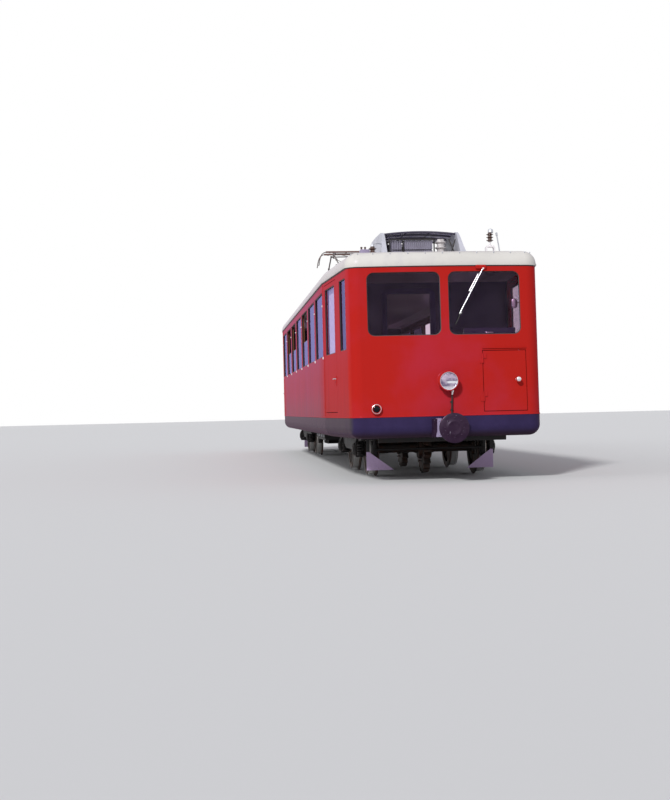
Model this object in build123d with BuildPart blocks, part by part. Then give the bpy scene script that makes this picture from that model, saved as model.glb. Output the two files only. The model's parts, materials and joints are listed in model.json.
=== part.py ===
from build123d import *
import math
import os

# Electric rack railway railcar on two bogies, in millimetres.
# X is across the car, Y along it with the uphill end at -Y, Z up from the wheel flanges' lowest points.
# The rear half is the front half turned half a turn about Z.

# Body shell
HALF_WIDTH = 1350          # outer skin of the straight middle
END_HALF_WIDTH = 1208      # outer skin where the tapered side would meet the front
SEAM_Y = 5150              # where the straight sides end and the tapered ends start
BODY_HALF = 7300           # front centre at the skirt line
END_BOW = 70               # how far the front bulges in plan
CORNER_R = 180             # plan radius between front and side
RAKE = 0.044               # how far the front leans back for each unit of height
WALL = 50
SKIRT_BOTTOM = 560
SKIRT_TOP = 830
GUTTER_Z = 2720
ROOF_EDGE_Z = 2910
ROOF_OVERHANG = 12
ROOF_EDGE_R = 170
ROOF_SKIN = 45
ROOF_COVE = 80             # chamfer inside the rolled edge
SKIRT_SKIN = 30
SKIRT_ROLL_R = 140
SKIRT_COVE = 65            # chamfer inside the roll
SKIRT_LIP = 165
SEAT_GAP = 0.3             # clearance of pieces that sit in or on each other
BEHIND_FRONT = 500         # from the seams to the plane inside each end where cuts through it start

# Side windows
WINDOW_COUNT = 7
WINDOW_PITCH = 1470
WINDOW_WIDTH = 1280
WINDOW_SILL_Z = 1690
WINDOW_TOP_Z = 2600
WINDOW_R = 25
GLASS = 8
GLASS_RECESS = 20
GLASS_LAP = 12             # how far a pane reaches behind the skin
DROPPED_WINDOWS = (2, 4, 5)     # counted from the uphill end, open above half height
DROPPED_TOP_Z = 2110

# End windows in the front
FRONT_SILL_Z = 1840
FRONT_TOP_Z = 2640
FRONT_PILLAR = 100
FRONT_WINDOW_WIDTH = 925
FRONT_WINDOW_R = 90

# Windows of the tapered sides, from the seam along the side
QUARTER_START = 1365
QUARTER_WIDTH = 465

# Entrance doors in the tapered sides
DOOR_START = 85
DOOR_WIDTH = 1000
DOOR_BOTTOM_Z = 895
DOOR_TOP_Z = 2665
DOOR_GAP = 8
DOOR_WINDOW_WIDTH = 800
DOOR_THICK = 45
HINGE_R = 9
HINGE_LENGTH = 60
HINGE_HEIGHTS = (1100, 2450)
HINGE_REACH = 45
HINGE_PLATE = 4

# Hatch in the front, for the driver's equipment
HATCH_INNER_X = 460
HATCH_WIDTH = 570
HATCH_BOTTOM_Z = 870
HATCH_TOP_Z = 1640
HATCH_GAP = 8
HATCH_THICK = 30
HATCH_HINGE_HEIGHTS = (1000, 1480)
HATCH_HINGE_PLATE = 6
KNOB_X = 908
KNOB_Z = 1267
KNOB_R = 32
KNOB_LENGTH = 75
DRIP_RAIL_Z = 1662
DRIP_RAIL_PROUD = 14
DRIP_RAIL_HEIGHT = 12

# Floor and underframe
FLOOR_THICK = 50
SOLE_X = 420
SOLE_WIDTH = 90
SOLE_BOTTOM = 705
CROSS_Y = (0, 1500, 2900, 4400, 6200)
CROSS_WIDTH = 120
CROSS_HALF_LENGTH = 1150
CROSS_DEPTH = 62

# Bogies
PIVOT_Y = 4400
WHEELBASE = 2000
TREAD_R = 353
FLANGE_HEIGHT = 28
WHEEL_BACK_X = 680
FLANGE_WIDTH = 32
TYRE_WIDTH = 135
AXLE_R = 72
JOURNAL_R = 58
JOURNAL_END_X = 985
PINION_TEETH = 20
RACK_PITCH = 100
PINION_WIDTH = 90
TOOTH_TIP = 32
TOOTH_ROOT = 38
TOOTH_HALF_ROOT = 32        # half thickness at the root and at the tip
TOOTH_HALF_TIP = 13
PINION_HUB_R = 150
PINION_HUB_WIDTH = 180
FRAME_X = 910
FRAME_PLATE = 50
FRAME_HALF_LENGTH = 1490
FRAME_TOP = 600
FRAME_END_DEPTH = 85
FRAME_DEPTH = 120
FRAME_BELLY = 240
FRAME_BELLY_HALF = 500
AXLE_GUIDE_WIDTH = 168
AXLEBOX_SIZE = 210
AXLEBOX_DEPTH = 130
BOLSTER_TOP = 680
BOLSTER_HEIGHT = 110
BOLSTER_WIDTH = 360
HEADSTOCK_WIDTH = 70
PIVOT_R = 90
PIVOT_PIN_R = 50
MOTOR_LENGTH = 1100
MOTOR_WIDTH = 1000
MOTOR_HEIGHT = 345

# Guard plates ahead of the leading wheels
GUARD_INNER_X = 500
GUARD_OUTER_X = 870
GUARD_HANGER = 40
GUARD_BOTTOM = 105
GUARD_HEIGHT = 245
GUARD_THICK = 10

# Buffer
BUFFER_Z = 680
BUFFER_R = 182
BUFFER_REACH = 7700
BUFFER_DISC = 45
BUFFER_STEM_R = 55
BUFFER_COLLAR_R = 88
BUFFER_COLLAR = 120
BUFFER_BOX_WIDTH = 420
BUFFER_BOX_HEIGHT = 230
BUFFER_BOX_LENGTH = 330
BUFFER_BOX_REACH = 7430
SOLE_END_Y = BUFFER_BOX_REACH - BUFFER_BOX_LENGTH

# Lamps
LAMP_SEAT = 12              # how far behind the skin a lamp's bar starts before it is trimmed
HEADLAMP_Z = 1260
HEADLAMP_BODY_R = 98
HEADLAMP_R = 122
HEADLAMP_RIM = 87
HEADLAMP_LENGTH = 130
LENS_R = 108
LENS_THICK = 18
MARKER_X = -898
MARKER_Z = 930
MARKER_R = 65
MARKER_LENGTH = 45
MARKER_LENS_R = 45

# Pantograph
PANTO_Y = 1500
PANTO_SHAFT_SPREAD = 250
PANTO_SHAFT_Z = 3230
ARM_LENGTH = 1150
ARM_ANGLE = 18              # the lower arms above level, as parked
LOWER_ARM_X = 610
UPPER_ARM_X = 555
LOWER_ARM_R = 21
UPPER_ARM_R = 13
SHAFT_R = 24
KNEE_R = 12
HEAD_PIN_R = 10
EYE_R = 26
EYE_WIDTH = 30
HEAD_EYE_R = 19
HEAD_HALF_WIDTH = 690
HEAD_STRIP_SPREAD = 190
HEAD_STRIP_RISE = 55
HEAD_STRIP_WIDTH = 40
HEAD_STRIP_HEIGHT = 28
HEAD_CARRIER = 16
HEAD_EYE_GAP = 13           # between a carrier's eye and the upper arm's eye
HANGER_R = 9
HORN_R = 260
HORN_ARC = 75
HORN_WIDTH = 24
HORN_THICK = 14
PANTO_BASE_HALF_LENGTH = 520
PANTO_BASE_X = 680
PANTO_RAIL = 60
PANTO_EAR = 90
INSULATOR_R = 45

# Resistor hood
HOOD_START_Y = 5950
HOOD_LENGTH = 2000
HOOD_LEAN = 380             # how far its ends lean in from roof to top
HOOD_INNER_X = 505
HOOD_OUTER_X = 603
HOOD_OUTER_TOP_X = 530
HOOD_TOP_Z = 3360
HOOD_ARCH = 33              # how much its middle stands above its cheeks
HOOD_CORNER_R = 190
HOOD_ARCH_BAR = 40
HOOD_MESH = 12

# Resistors in the hood: rows of grids on a tray, an insulator beside the first and the last row
RESISTOR_ROWS = 5
RESISTOR_PITCH = 330
RESISTOR_DEPTH = 250
RESISTOR_HEIGHT = 300
RESISTOR_LEFT_X = -470
RESISTOR_RIGHT_X = 165
RESISTOR_TRAY = 50
TRAY_INSET = 20             # between the tray and the hood's cheeks
STACK_X = 268
STACK_R = 78

# Roof fittings at the front
ARRESTER_X = 830
ARRESTER_Y = 6200
ARRESTER_TOP_Z = 3330
ARRESTER_DISCS = 3
ARRESTER_DISC_PITCH = 75
ARRESTER_DISC_R = 55
ARRESTER_DISC = 22
ARRESTER_FIRST_DISC = 120
ARRESTER_POST_R = 28
ARRESTER_FOOT = (170, 90, 75)
ARRESTER_FOOT_LEG = 35
WHISTLE_X = 965
WHISTLE_TOP_Z = 3285
WHISTLE_PIPE_R = 13
WHISTLE_R = 20
WHISTLE_LENGTH = 110

# Wiper
WIPER_X = 499
WIPER_Z = 2668
WIPER_SPAN_X = 317
WIPER_SPAN_Z = 565
WIPER_OFF = 20               # from the skin to the arm
WIPER_ARM_R = 7
WIPER_BOSS_R = 14
WIPER_BOSS = 28

# Under the floor: centre x, centre y, width, length, height
UNDERFLOOR_BOXES = (
    (-800, -1300, 560, 1500, 330),
    (800, -1000, 560, 1100, 300),
    (800, 1300, 560, 1400, 330),
    (-800, 1400, 560, 900, 280),
)
AIR_TANK_XS = (-150, 150)
AIR_TANK_Y = 600
AIR_TANK_Z = 560
AIR_TANK_R = 130
AIR_TANK_LENGTH = 1300
TANK_STRAP_WIDTH = 156
TANK_STRAP = 40

# Inside
PASSAGE_X = 120              # the passage's middle, left of the car's middle at the uphill end
DESK_X = 620
DESK_Y = 6880
DESK_WIDTH = 760
DESK_DEPTH = 260
DESK_TOP_Z = 1780
WHEEL_POST_R = 25
WHEEL_POST = 80
HAND_WHEEL_R = 150
HAND_WHEEL = 25
STOOL_BEHIND = 620          # from the desk back to the stool
STOOL_Z = 1500
STOOL_POST_R = 45
STOOL_R = 190
STOOL_SEAT = 60
PARTITION_Y = 5080
PARTITION_THICK = 35
PASSAGE_WIDTH = 620
PASSAGE_TOP = 2560
BENCH_WIDTH = 980
BENCH_DEPTH = 420
BENCH_SEAT_Z = 1330
BENCH_BACK_Z = 1900
BENCH_BOARD = 40
BENCH_PEDESTAL = 120

os.makedirs("parts", exist_ok=True)


def finish(piece, name):
    """Label a finished piece and write it."""
    piece.label = name
    export_step(piece, f"parts/{name}.step")


def taper_half_width(y):
    """Outer half width of the tapered end at distance y from the middle."""
    slope = (HALF_WIDTH - END_HALF_WIDTH) / (BODY_HALF - END_BOW - SEAM_Y)
    return HALF_WIDTH - slope * (y - SEAM_Y)


def reach_at(z):
    """How far the raked front's centre lies from the middle at height z."""
    return BODY_HALF - RAKE * (z - SKIRT_TOP)


def body_plan(reach, grow=0.0):
    """Plan of the whole body with its bowed fronts at +-reach, grown outward by grow."""
    corner = reach - END_BOW
    half = taper_half_width(corner)
    with BuildSketch(Plane.XY, mode=Mode.PRIVATE) as plan:
        with BuildLine():
            Polyline((half, -corner), (HALF_WIDTH, -SEAM_Y), (HALF_WIDTH, SEAM_Y), (half, corner))
            ThreePointArc((half, corner), (0, reach), (-half, corner))
            Polyline((-half, corner), (-HALF_WIDTH, SEAM_Y), (-HALF_WIDTH, -SEAM_Y), (-half, -corner))
            ThreePointArc((-half, -corner), (0, -reach), (half, -corner))
        make_face()
        ends = plan.vertices().filter_by(lambda v: abs(v.Y) > SEAM_Y + 1)
        fillet(ends, CORNER_R)
        if grow:
            offset(amount=grow)
    return plan.sketch


def end_half(side, low, high, grow):
    """One side of the raked uphill end between two heights, its skin moved by grow.

    It climbs along the tapered side, so that side stays upright while the front leans back.
    """
    slope = (HALF_WIDTH - END_HALF_WIDTH) / (BODY_HALF - END_BOW - SEAM_Y)
    climb = Vector(side * slope * RAKE, RAKE, 1)
    shift = climb * (low - SKIRT_TOP)
    outward = Align.MIN if side > 0 else Align.MAX
    with BuildPart(mode=Mode.PRIVATE) as half:
        with BuildSketch(Plane.XY.offset(low)):
            add(body_plan(BODY_HALF, grow).moved(Location((shift.X, shift.Y, 0))))
        extrude(amount=(high - low) * climb.length, dir=tuple(climb))
        with Locations((0, -SEAM_Y, low)):
            Box(
                2 * HALF_WIDTH, BODY_HALF, high - low,
                align=(outward, Align.MAX, Align.MIN),
                mode=Mode.INTERSECT,
            )
    return half.part


def end_block(low, high, grow):
    """The raked uphill end between two heights, its skin moved by grow."""
    return end_half(-1, low, high, grow) + end_half(1, low, high, grow)


# Frame of the tapered side at -X: x runs from the seam towards the front, y up, z outward.
taper_angle = math.atan2(HALF_WIDTH - END_HALF_WIDTH, BODY_HALF - END_BOW - SEAM_Y)
TAPER = Plane(
    origin=(-HALF_WIDTH, -SEAM_Y, 0),
    x_dir=(math.sin(taper_angle), -math.cos(taper_angle), 0),
    z_dir=(-math.cos(taper_angle), -math.sin(taper_angle), 0),
)
FRONT_SIDE = Plane.XZ.offset(SEAM_Y + BEHIND_FRONT)


def end_windows(grow, radius):
    """Block that reaches forward through both windows of a front, each edge moved out by grow."""
    middle = (FRONT_SILL_Z + FRONT_TOP_Z) / 2
    offset_x = (FRONT_PILLAR + FRONT_WINDOW_WIDTH) / 2
    width = FRONT_WINDOW_WIDTH + 2 * grow
    height = FRONT_TOP_Z - FRONT_SILL_Z + 2 * grow
    with BuildPart(mode=Mode.PRIVATE) as block:
        with BuildSketch(FRONT_SIDE):
            with Locations((-offset_x, middle), (offset_x, middle)):
                if radius:
                    RectangleRounded(width, height, radius)
                else:
                    Rectangle(width, height)
        extrude(amount=BODY_HALF)
    return block.part


def upright(plane, start, width, low, high, depth, thick, grow=0.0, radius=0.0):
    """Slab on an upright plane: start along its x, low to high, thick inward from depth."""
    with BuildPart(mode=Mode.PRIVATE) as slab:
        with BuildSketch(plane.offset(-depth)):
            with Locations((start + width / 2, (low + high) / 2)):
                if radius:
                    RectangleRounded(width + 2 * grow, high - low + 2 * grow, radius)
                else:
                    Rectangle(width + 2 * grow, high - low + 2 * grow)
        extrude(amount=-thick)
    return slab.part


def window_hole(plane, start, width):
    """Cut for a window: a rounded opening in the skin and a square rebate for the pane behind it."""
    opening = upright(
        plane, start, width, WINDOW_SILL_Z, WINDOW_TOP_Z, -GLASS_RECESS, 2 * GLASS_RECESS + 1, 0, WINDOW_R
    )
    rebate = upright(plane, start, width, WINDOW_SILL_Z, WINDOW_TOP_Z, GLASS_RECESS, WALL, GLASS_LAP)
    return opening + rebate


def pane(plane, start, width, top=WINDOW_TOP_Z + GLASS_LAP - SEAT_GAP):
    """Glass that lies in a window's rebate, up to height top."""
    return upright(
        plane, start - GLASS_LAP + SEAT_GAP, width + 2 * (GLASS_LAP - SEAT_GAP),
        WINDOW_SILL_Z - GLASS_LAP + SEAT_GAP, top, GLASS_RECESS + SEAT_GAP, GLASS,
    )


def both_sides(piece):
    """The piece and its mirror image across the car's middle."""
    return [piece, piece.mirror(Plane.YZ)]


def turned(piece):
    """The piece at the other end of the car."""
    return piece.rotate(Axis.Z, 180)


# Raked, bowed end with tapered sides
door_hole = upright(TAPER, DOOR_START, DOOR_WIDTH, DOOR_BOTTOM_Z, DOOR_TOP_Z, -WALL, 3 * WALL, 0, WINDOW_R)
quarter_hole = window_hole(TAPER, QUARTER_START, QUARTER_WIDTH)


def hinge_half(plane, reach, barrel_r, plate, low):
    """Barrel on the plane's y line with a plate that reaches along its x, above height low."""
    with BuildPart(mode=Mode.PRIVATE) as half:
        with BuildSketch(plane.offset(low)):
            Circle(barrel_r)
            with Locations((reach / 2, plate / 2)):
                Rectangle(abs(reach), abs(plate))
        extrude(amount=HINGE_LENGTH)
    return half.part


# Door hinge line at -X: x along the side away from the seam, y inward, z up.
DOOR_HINGE = Plane(
    origin=TAPER.from_local_coords((DOOR_START + DOOR_GAP / 2, 0, -WALL - HINGE_R)),
    x_dir=TAPER.x_dir,
    z_dir=(0, 0, 1),
)

# Hatch hinge line: x across the car, y inward, z up along the raked front.
bow_radius = (END_HALF_WIDTH**2 + END_BOW**2) / (2 * END_BOW)


def front_y(x, z):
    """Where the front's skin lies at x and z."""
    return -(reach_at(z) - x**2 / (2 * bow_radius))


hatch_hinge_x = HATCH_INNER_X + HATCH_GAP / 2
HATCH_HINGE = Plane(
    origin=(hatch_hinge_x, front_y(hatch_hinge_x, 0) - HINGE_R, 0),
    x_dir=(1, 0, 0),
    z_dir=(0, RAKE, 1),
)
hatch_prism_x = HATCH_INNER_X + HATCH_WIDTH / 2
hatch_middle_z = (HATCH_BOTTOM_Z + HATCH_TOP_Z) / 2


def front_rectangle(x, z, width, height, depth=BODY_HALF):
    """Block that reaches forward through the front, seen along the car as a rectangle."""
    with BuildPart(mode=Mode.PRIVATE) as block:
        with BuildSketch(FRONT_SIDE):
            with Locations((x, z)):
                Rectangle(width, height)
        extrude(amount=depth)
    return block.part


with BuildPart() as end_shell_front:
    add(end_block(SKIRT_TOP, GUTTER_Z, 0.0))
    add(end_block(SKIRT_TOP, GUTTER_Z, -WALL), mode=Mode.SUBTRACT)
    add(end_windows(0, FRONT_WINDOW_R), mode=Mode.SUBTRACT)
    behind_skin = end_block(FRONT_SILL_Z - WALL, FRONT_TOP_Z + WALL, -GLASS_RECESS)
    add(behind_skin & end_windows(GLASS_LAP, 0), mode=Mode.SUBTRACT)
    add(both_sides(door_hole), mode=Mode.SUBTRACT)
    add(both_sides(quarter_hole), mode=Mode.SUBTRACT)
    add(
        front_rectangle(hatch_prism_x, hatch_middle_z, HATCH_WIDTH, HATCH_TOP_Z - HATCH_BOTTOM_Z),
        mode=Mode.SUBTRACT,
    )
    for height in HINGE_HEIGHTS:
        frame_half = hinge_half(DOOR_HINGE, -HINGE_REACH, HINGE_R, -HINGE_R - HINGE_PLATE, height)
        add(both_sides(frame_half))
    for height in HATCH_HINGE_HEIGHTS:
        add(hinge_half(HATCH_HINGE, -HINGE_REACH, HINGE_R, HINGE_R + HATCH_HINGE_PLATE, height))
    rail = end_block(DRIP_RAIL_Z, DRIP_RAIL_Z + DRIP_RAIL_HEIGHT, DRIP_RAIL_PROUD)
    rail = rail & front_rectangle(hatch_prism_x, DRIP_RAIL_Z, HATCH_WIDTH, 4 * DRIP_RAIL_HEIGHT)
    add(rail - end_block(DRIP_RAIL_Z, DRIP_RAIL_Z + DRIP_RAIL_HEIGHT, -WALL / 2))
finish(end_shell_front.part, "end_shell_front")
finish(turned(end_shell_front.part), "end_shell_rear")

# Straight side walls, windows counted from the uphill end
WALL_SIDE = Plane(origin=(-HALF_WIDTH, 0, 0), x_dir=(0, -1, 0), z_dir=(-1, 0, 0))
WINDOW_STARTS = [
    ((WINDOW_COUNT - 1) / 2 - index) * WINDOW_PITCH - WINDOW_WIDTH / 2 for index in range(WINDOW_COUNT)
]
with BuildPart() as side_wall_left:
    add(upright(WALL_SIDE, -SEAM_Y, 2 * SEAM_Y, SKIRT_TOP, GUTTER_Z, 0, WALL))
    for start in WINDOW_STARTS:
        add(window_hole(WALL_SIDE, start, WINDOW_WIDTH), mode=Mode.SUBTRACT)
finish(side_wall_left.part, "side_wall_left")
finish(turned(side_wall_left.part), "side_wall_right")


def seam_slits(low, high):
    """Thin slabs at the two seams, which part a ring or lid into its ends and its middle."""
    with BuildPart(mode=Mode.PRIVATE) as slits:
        for seam in (-1, 1):
            with Locations((0, seam * SEAM_Y, low)):
                Box(4 * HALF_WIDTH, SEAT_GAP, high - low, align=(Align.CENTER, Align.CENTER, Align.MIN))
    return slits.part


# Roof: a lid in three lengths over the whole plan, with a rolled edge
with BuildPart() as roof:
    with BuildSketch(Plane.XY.offset(GUTTER_Z)):
        add(body_plan(reach_at(GUTTER_Z), ROOF_OVERHANG))
    extrude(amount=ROOF_EDGE_Z - GUTTER_Z)
    fillet(roof.faces().sort_by(Axis.Z)[-1].edges(), ROOF_EDGE_R)
with BuildPart() as roof_inside:
    with BuildSketch(Plane.XY.offset(GUTTER_Z)):
        add(body_plan(reach_at(GUTTER_Z), -WALL))
    extrude(amount=ROOF_EDGE_Z - GUTTER_Z - ROOF_SKIN)
    chamfer(roof_inside.faces().sort_by(Axis.Z)[-1].edges(), ROOF_COVE)
with BuildPart() as roof_lengths:
    add(roof.part - roof_inside.part - seam_slits(GUTTER_Z, ROOF_EDGE_Z))
finish(roof_lengths.part, "roof")


def tub(grow, low, high):
    """Solid with the body's plan grown by grow."""
    with BuildPart(mode=Mode.PRIVATE) as block:
        with BuildSketch(Plane.XY.offset(low)):
            add(body_plan(BODY_HALF, grow))
        extrude(amount=high - low)
    return block


# Skirt round the whole car in four lengths, rolled under at its foot
with BuildPart() as skirt_opening:
    with BuildSketch(Plane.XY.offset(SKIRT_BOTTOM - SKIRT_SKIN)):
        add(body_plan(BODY_HALF, -SKIRT_LIP))
    extrude(amount=3 * SKIRT_SKIN)
with BuildPart() as buffer_notches:
    for end in (-1, 1):
        with Locations((0, end * BODY_HALF, BUFFER_Z + BUFFER_BOX_HEIGHT / 2 + SEAT_GAP)):
            Box(
                BUFFER_BOX_WIDTH + 2 * SEAT_GAP, 4 * SKIRT_LIP, 2 * BUFFER_BOX_HEIGHT,
                align=(Align.CENTER, Align.CENTER, Align.MAX),
            )
with BuildPart() as skirt_outside:
    add(tub(0, SKIRT_BOTTOM, SKIRT_TOP).part)
    fillet(skirt_outside.faces().sort_by(Axis.Z)[0].edges(), SKIRT_ROLL_R)
with BuildPart() as skirt_inside:
    add(tub(-SKIRT_SKIN, SKIRT_BOTTOM + SKIRT_SKIN, SKIRT_TOP + 1).part)
    chamfer(skirt_inside.faces().sort_by(Axis.Z)[0].edges(), SKIRT_COVE)
with BuildPart() as skirt:
    add(
        skirt_outside.part - skirt_inside.part - skirt_opening.part - buffer_notches.part
        - seam_slits(SKIRT_BOTTOM, SKIRT_TOP)
    )
finish(skirt.part, "skirt")

# Glass, in one plane behind each skin
with BuildPart() as side_glass_left:
    for index, start in enumerate(WINDOW_STARTS):
        if index in DROPPED_WINDOWS:
            add(pane(WALL_SIDE, start, WINDOW_WIDTH, DROPPED_TOP_Z))
        else:
            add(pane(WALL_SIDE, start, WINDOW_WIDTH))
    quarter_pane = pane(TAPER, QUARTER_START, QUARTER_WIDTH)
    add(quarter_pane)
    add(turned(quarter_pane.mirror(Plane.YZ)))
finish(side_glass_left.part, "side_glass_left")
finish(turned(side_glass_left.part), "side_glass_right")

with BuildPart() as front_glass:
    add(end_block(FRONT_SILL_Z - WALL, FRONT_TOP_Z + WALL, -GLASS_RECESS - SEAT_GAP))
    add(end_block(FRONT_SILL_Z - WALL, FRONT_TOP_Z + WALL, -GLASS_RECESS - GLASS), mode=Mode.SUBTRACT)
    add(end_windows(GLASS_LAP - SEAT_GAP, 0), mode=Mode.INTERSECT)
finish(front_glass.part, "end_glass_front")
finish(turned(front_glass.part), "end_glass_rear")

# Entrance doors with their panes
door_window_start = DOOR_START + (DOOR_WIDTH - DOOR_WINDOW_WIDTH) / 2
with BuildPart() as door:
    add(upright(
        TAPER, DOOR_START, DOOR_WIDTH, DOOR_BOTTOM_Z, DOOR_TOP_Z,
        0, DOOR_THICK, -DOOR_GAP, WINDOW_R - DOOR_GAP,
    ))
    add(window_hole(TAPER, door_window_start, DOOR_WINDOW_WIDTH), mode=Mode.SUBTRACT)
    for height in HINGE_HEIGHTS:
        leaf_half = hinge_half(
            DOOR_HINGE, HINGE_REACH, HINGE_R, DOOR_THICK - WALL - HINGE_R - HINGE_PLATE,
            height + HINGE_LENGTH + SEAT_GAP,
        )
        add(leaf_half)
door_pane = pane(TAPER, door_window_start, DOOR_WINDOW_WIDTH)
for place, made in (("door", door.part), ("door_glass", door_pane)):
    finish(made, f"{place}_front_left")
    finish(made.mirror(Plane.YZ), f"{place}_front_right")
    finish(turned(made.mirror(Plane.YZ)), f"{place}_rear_left")
    finish(turned(made), f"{place}_rear_right")

# Hatch in the front with its knob
with BuildPart() as hatch:
    add(end_block(HATCH_BOTTOM_Z, HATCH_TOP_Z, 0.0))
    add(end_block(HATCH_BOTTOM_Z, HATCH_TOP_Z, -HATCH_THICK), mode=Mode.SUBTRACT)
    add(
        front_rectangle(
            hatch_prism_x,
            hatch_middle_z,
            HATCH_WIDTH - 2 * HATCH_GAP,
            HATCH_TOP_Z - HATCH_BOTTOM_Z - 2 * HATCH_GAP,
        ),
        mode=Mode.INTERSECT,
    )
    for height in HATCH_HINGE_HEIGHTS:
        leaf_height = height + HINGE_LENGTH + SEAT_GAP
        add(hinge_half(HATCH_HINGE, HINGE_REACH, HINGE_R, HINGE_R + HATCH_HINGE_PLATE, leaf_height))
    with BuildSketch(Plane.XZ.offset(-front_y(KNOB_X, KNOB_Z) - HATCH_THICK / 2)):
        with Locations((KNOB_X, KNOB_Z)):
            Circle(KNOB_R / 2)
    extrude(amount=KNOB_LENGTH)
    with BuildSketch(Plane.XZ.offset(-front_y(KNOB_X, KNOB_Z) + KNOB_LENGTH - KNOB_R)):
        with Locations((KNOB_X, KNOB_Z)):
            Circle(KNOB_R)
    extrude(amount=KNOB_R)
finish(hatch.part, "hatch_front")
finish(turned(hatch.part), "hatch_rear")

# Floor and underframe
with BuildPart() as floor:
    with BuildSketch(Plane.XY.offset(SKIRT_TOP)):
        add(body_plan(BODY_HALF, -WALL - RAKE * FLOOR_THICK - SEAT_GAP))
    extrude(amount=FLOOR_THICK)
finish(floor.part, "floor")

sole_top = SKIRT_TOP - CROSS_DEPTH - SEAT_GAP
sole_depth = sole_top - SOLE_BOTTOM
inside_sole = 2 * SOLE_X - SOLE_WIDTH - 2 * SEAT_GAP
with BuildPart() as underframe:
    with Locations((-SOLE_X, 0, SOLE_BOTTOM), (SOLE_X, 0, SOLE_BOTTOM)):
        Box(SOLE_WIDTH, 2 * SOLE_END_Y, sole_depth, align=(Align.CENTER, Align.CENTER, Align.MIN))
    for cross_y in sorted({sign * y for y in CROSS_Y for sign in (-1, 1)}):
        with Locations((0, cross_y, SKIRT_TOP)):
            Box(
                2 * CROSS_HALF_LENGTH, CROSS_WIDTH, CROSS_DEPTH,
                align=(Align.CENTER, Align.CENTER, Align.MAX),
            )
    for end in (-1, 1):
        with Locations((0, end * (SOLE_END_Y - CROSS_WIDTH / 2), SOLE_BOTTOM)):
            Box(inside_sole, CROSS_WIDTH, sole_depth, align=(Align.CENTER, Align.CENTER, Align.MIN))
        with Locations((0, end * PIVOT_Y, SOLE_BOTTOM)):
            Box(inside_sole, BOLSTER_WIDTH, sole_depth, align=(Align.CENTER, Align.CENTER, Align.MIN))
        with Locations((0, end * PIVOT_Y, BOLSTER_TOP + SEAT_GAP)):
            Cylinder(
                PIVOT_R, SOLE_BOTTOM - BOLSTER_TOP - 2 * SEAT_GAP,
                align=(Align.CENTER, Align.CENTER, Align.MIN),
            )
        with Locations((0, end * PIVOT_Y, SOLE_BOTTOM - SEAT_GAP)):
            Cylinder(
                PIVOT_PIN_R, SOLE_BOTTOM - SEAT_GAP - BOLSTER_TOP + BOLSTER_HEIGHT / 2,
                align=(Align.CENTER, Align.CENTER, Align.MAX),
            )
finish(underframe.part, "underframe")

# Wheelset: axle, two flanged wheels and a toothed rack wheel in the middle
pitch_r = PINION_TEETH * RACK_PITCH / (2 * math.pi)
tip_r = pitch_r + TOOTH_TIP
root_r = pitch_r - TOOTH_ROOT
flange_r = TREAD_R + FLANGE_HEIGHT
axle_z = flange_r
axle_hole = AXLE_R + SEAT_GAP
tyre_outer_x = WHEEL_BACK_X + TYRE_WIDTH
with BuildPart() as wheelset:
    for turn_over in (False, True):
        with BuildSketch(Plane.XZ):
            with BuildLine():
                Polyline(
                    (WHEEL_BACK_X, axle_hole),
                    (WHEEL_BACK_X, flange_r),
                    (WHEEL_BACK_X + FLANGE_WIDTH, TREAD_R),
                    (tyre_outer_x, TREAD_R),
                    (tyre_outer_x, axle_hole),
                    close=True,
                )
            make_face()
            if turn_over:
                mirror(about=Plane.YZ, mode=Mode.REPLACE)
        revolve(axis=Axis.X)
    with BuildSketch(Plane.YZ.offset(-tyre_outer_x)):
        Circle(AXLE_R)
    extrude(amount=2 * tyre_outer_x)
    with BuildSketch(Plane.YZ.offset(-JOURNAL_END_X)):
        Circle(JOURNAL_R)
    extrude(amount=2 * JOURNAL_END_X)
with BuildPart() as pinion:
    with BuildSketch(Plane.YZ.offset(-PINION_WIDTH / 2)):
        Circle(root_r)
        with PolarLocations(0, PINION_TEETH):
            with BuildLine():
                Polyline(
                    (root_r - TOOTH_ROOT, -TOOTH_HALF_ROOT),
                    (root_r, -TOOTH_HALF_ROOT),
                    (tip_r, -TOOTH_HALF_TIP),
                    (tip_r, TOOTH_HALF_TIP),
                    (root_r, TOOTH_HALF_ROOT),
                    (root_r - TOOTH_ROOT, TOOTH_HALF_ROOT),
                    close=True,
                )
            make_face()
    extrude(amount=PINION_WIDTH)
    with BuildSketch(Plane.YZ.offset(-PINION_HUB_WIDTH / 2)):
        Circle(PINION_HUB_R)
    extrude(amount=PINION_HUB_WIDTH)
    with BuildSketch(Plane.YZ.offset(-PINION_HUB_WIDTH)):
        Circle(axle_hole)
    extrude(amount=2 * PINION_HUB_WIDTH, mode=Mode.SUBTRACT)
with BuildPart() as wheelset_whole:
    add(wheelset.part)
    add(pinion.part)
AXLE_YS = {
    "wheelset_1": -PIVOT_Y - WHEELBASE / 2,
    "wheelset_2": -PIVOT_Y + WHEELBASE / 2,
    "wheelset_3": PIVOT_Y - WHEELBASE / 2,
    "wheelset_4": PIVOT_Y + WHEELBASE / 2,
}
for name, axle_y in AXLE_YS.items():
    finish(wheelset_whole.part.moved(Location((0, axle_y, axle_z))), name)

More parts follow.
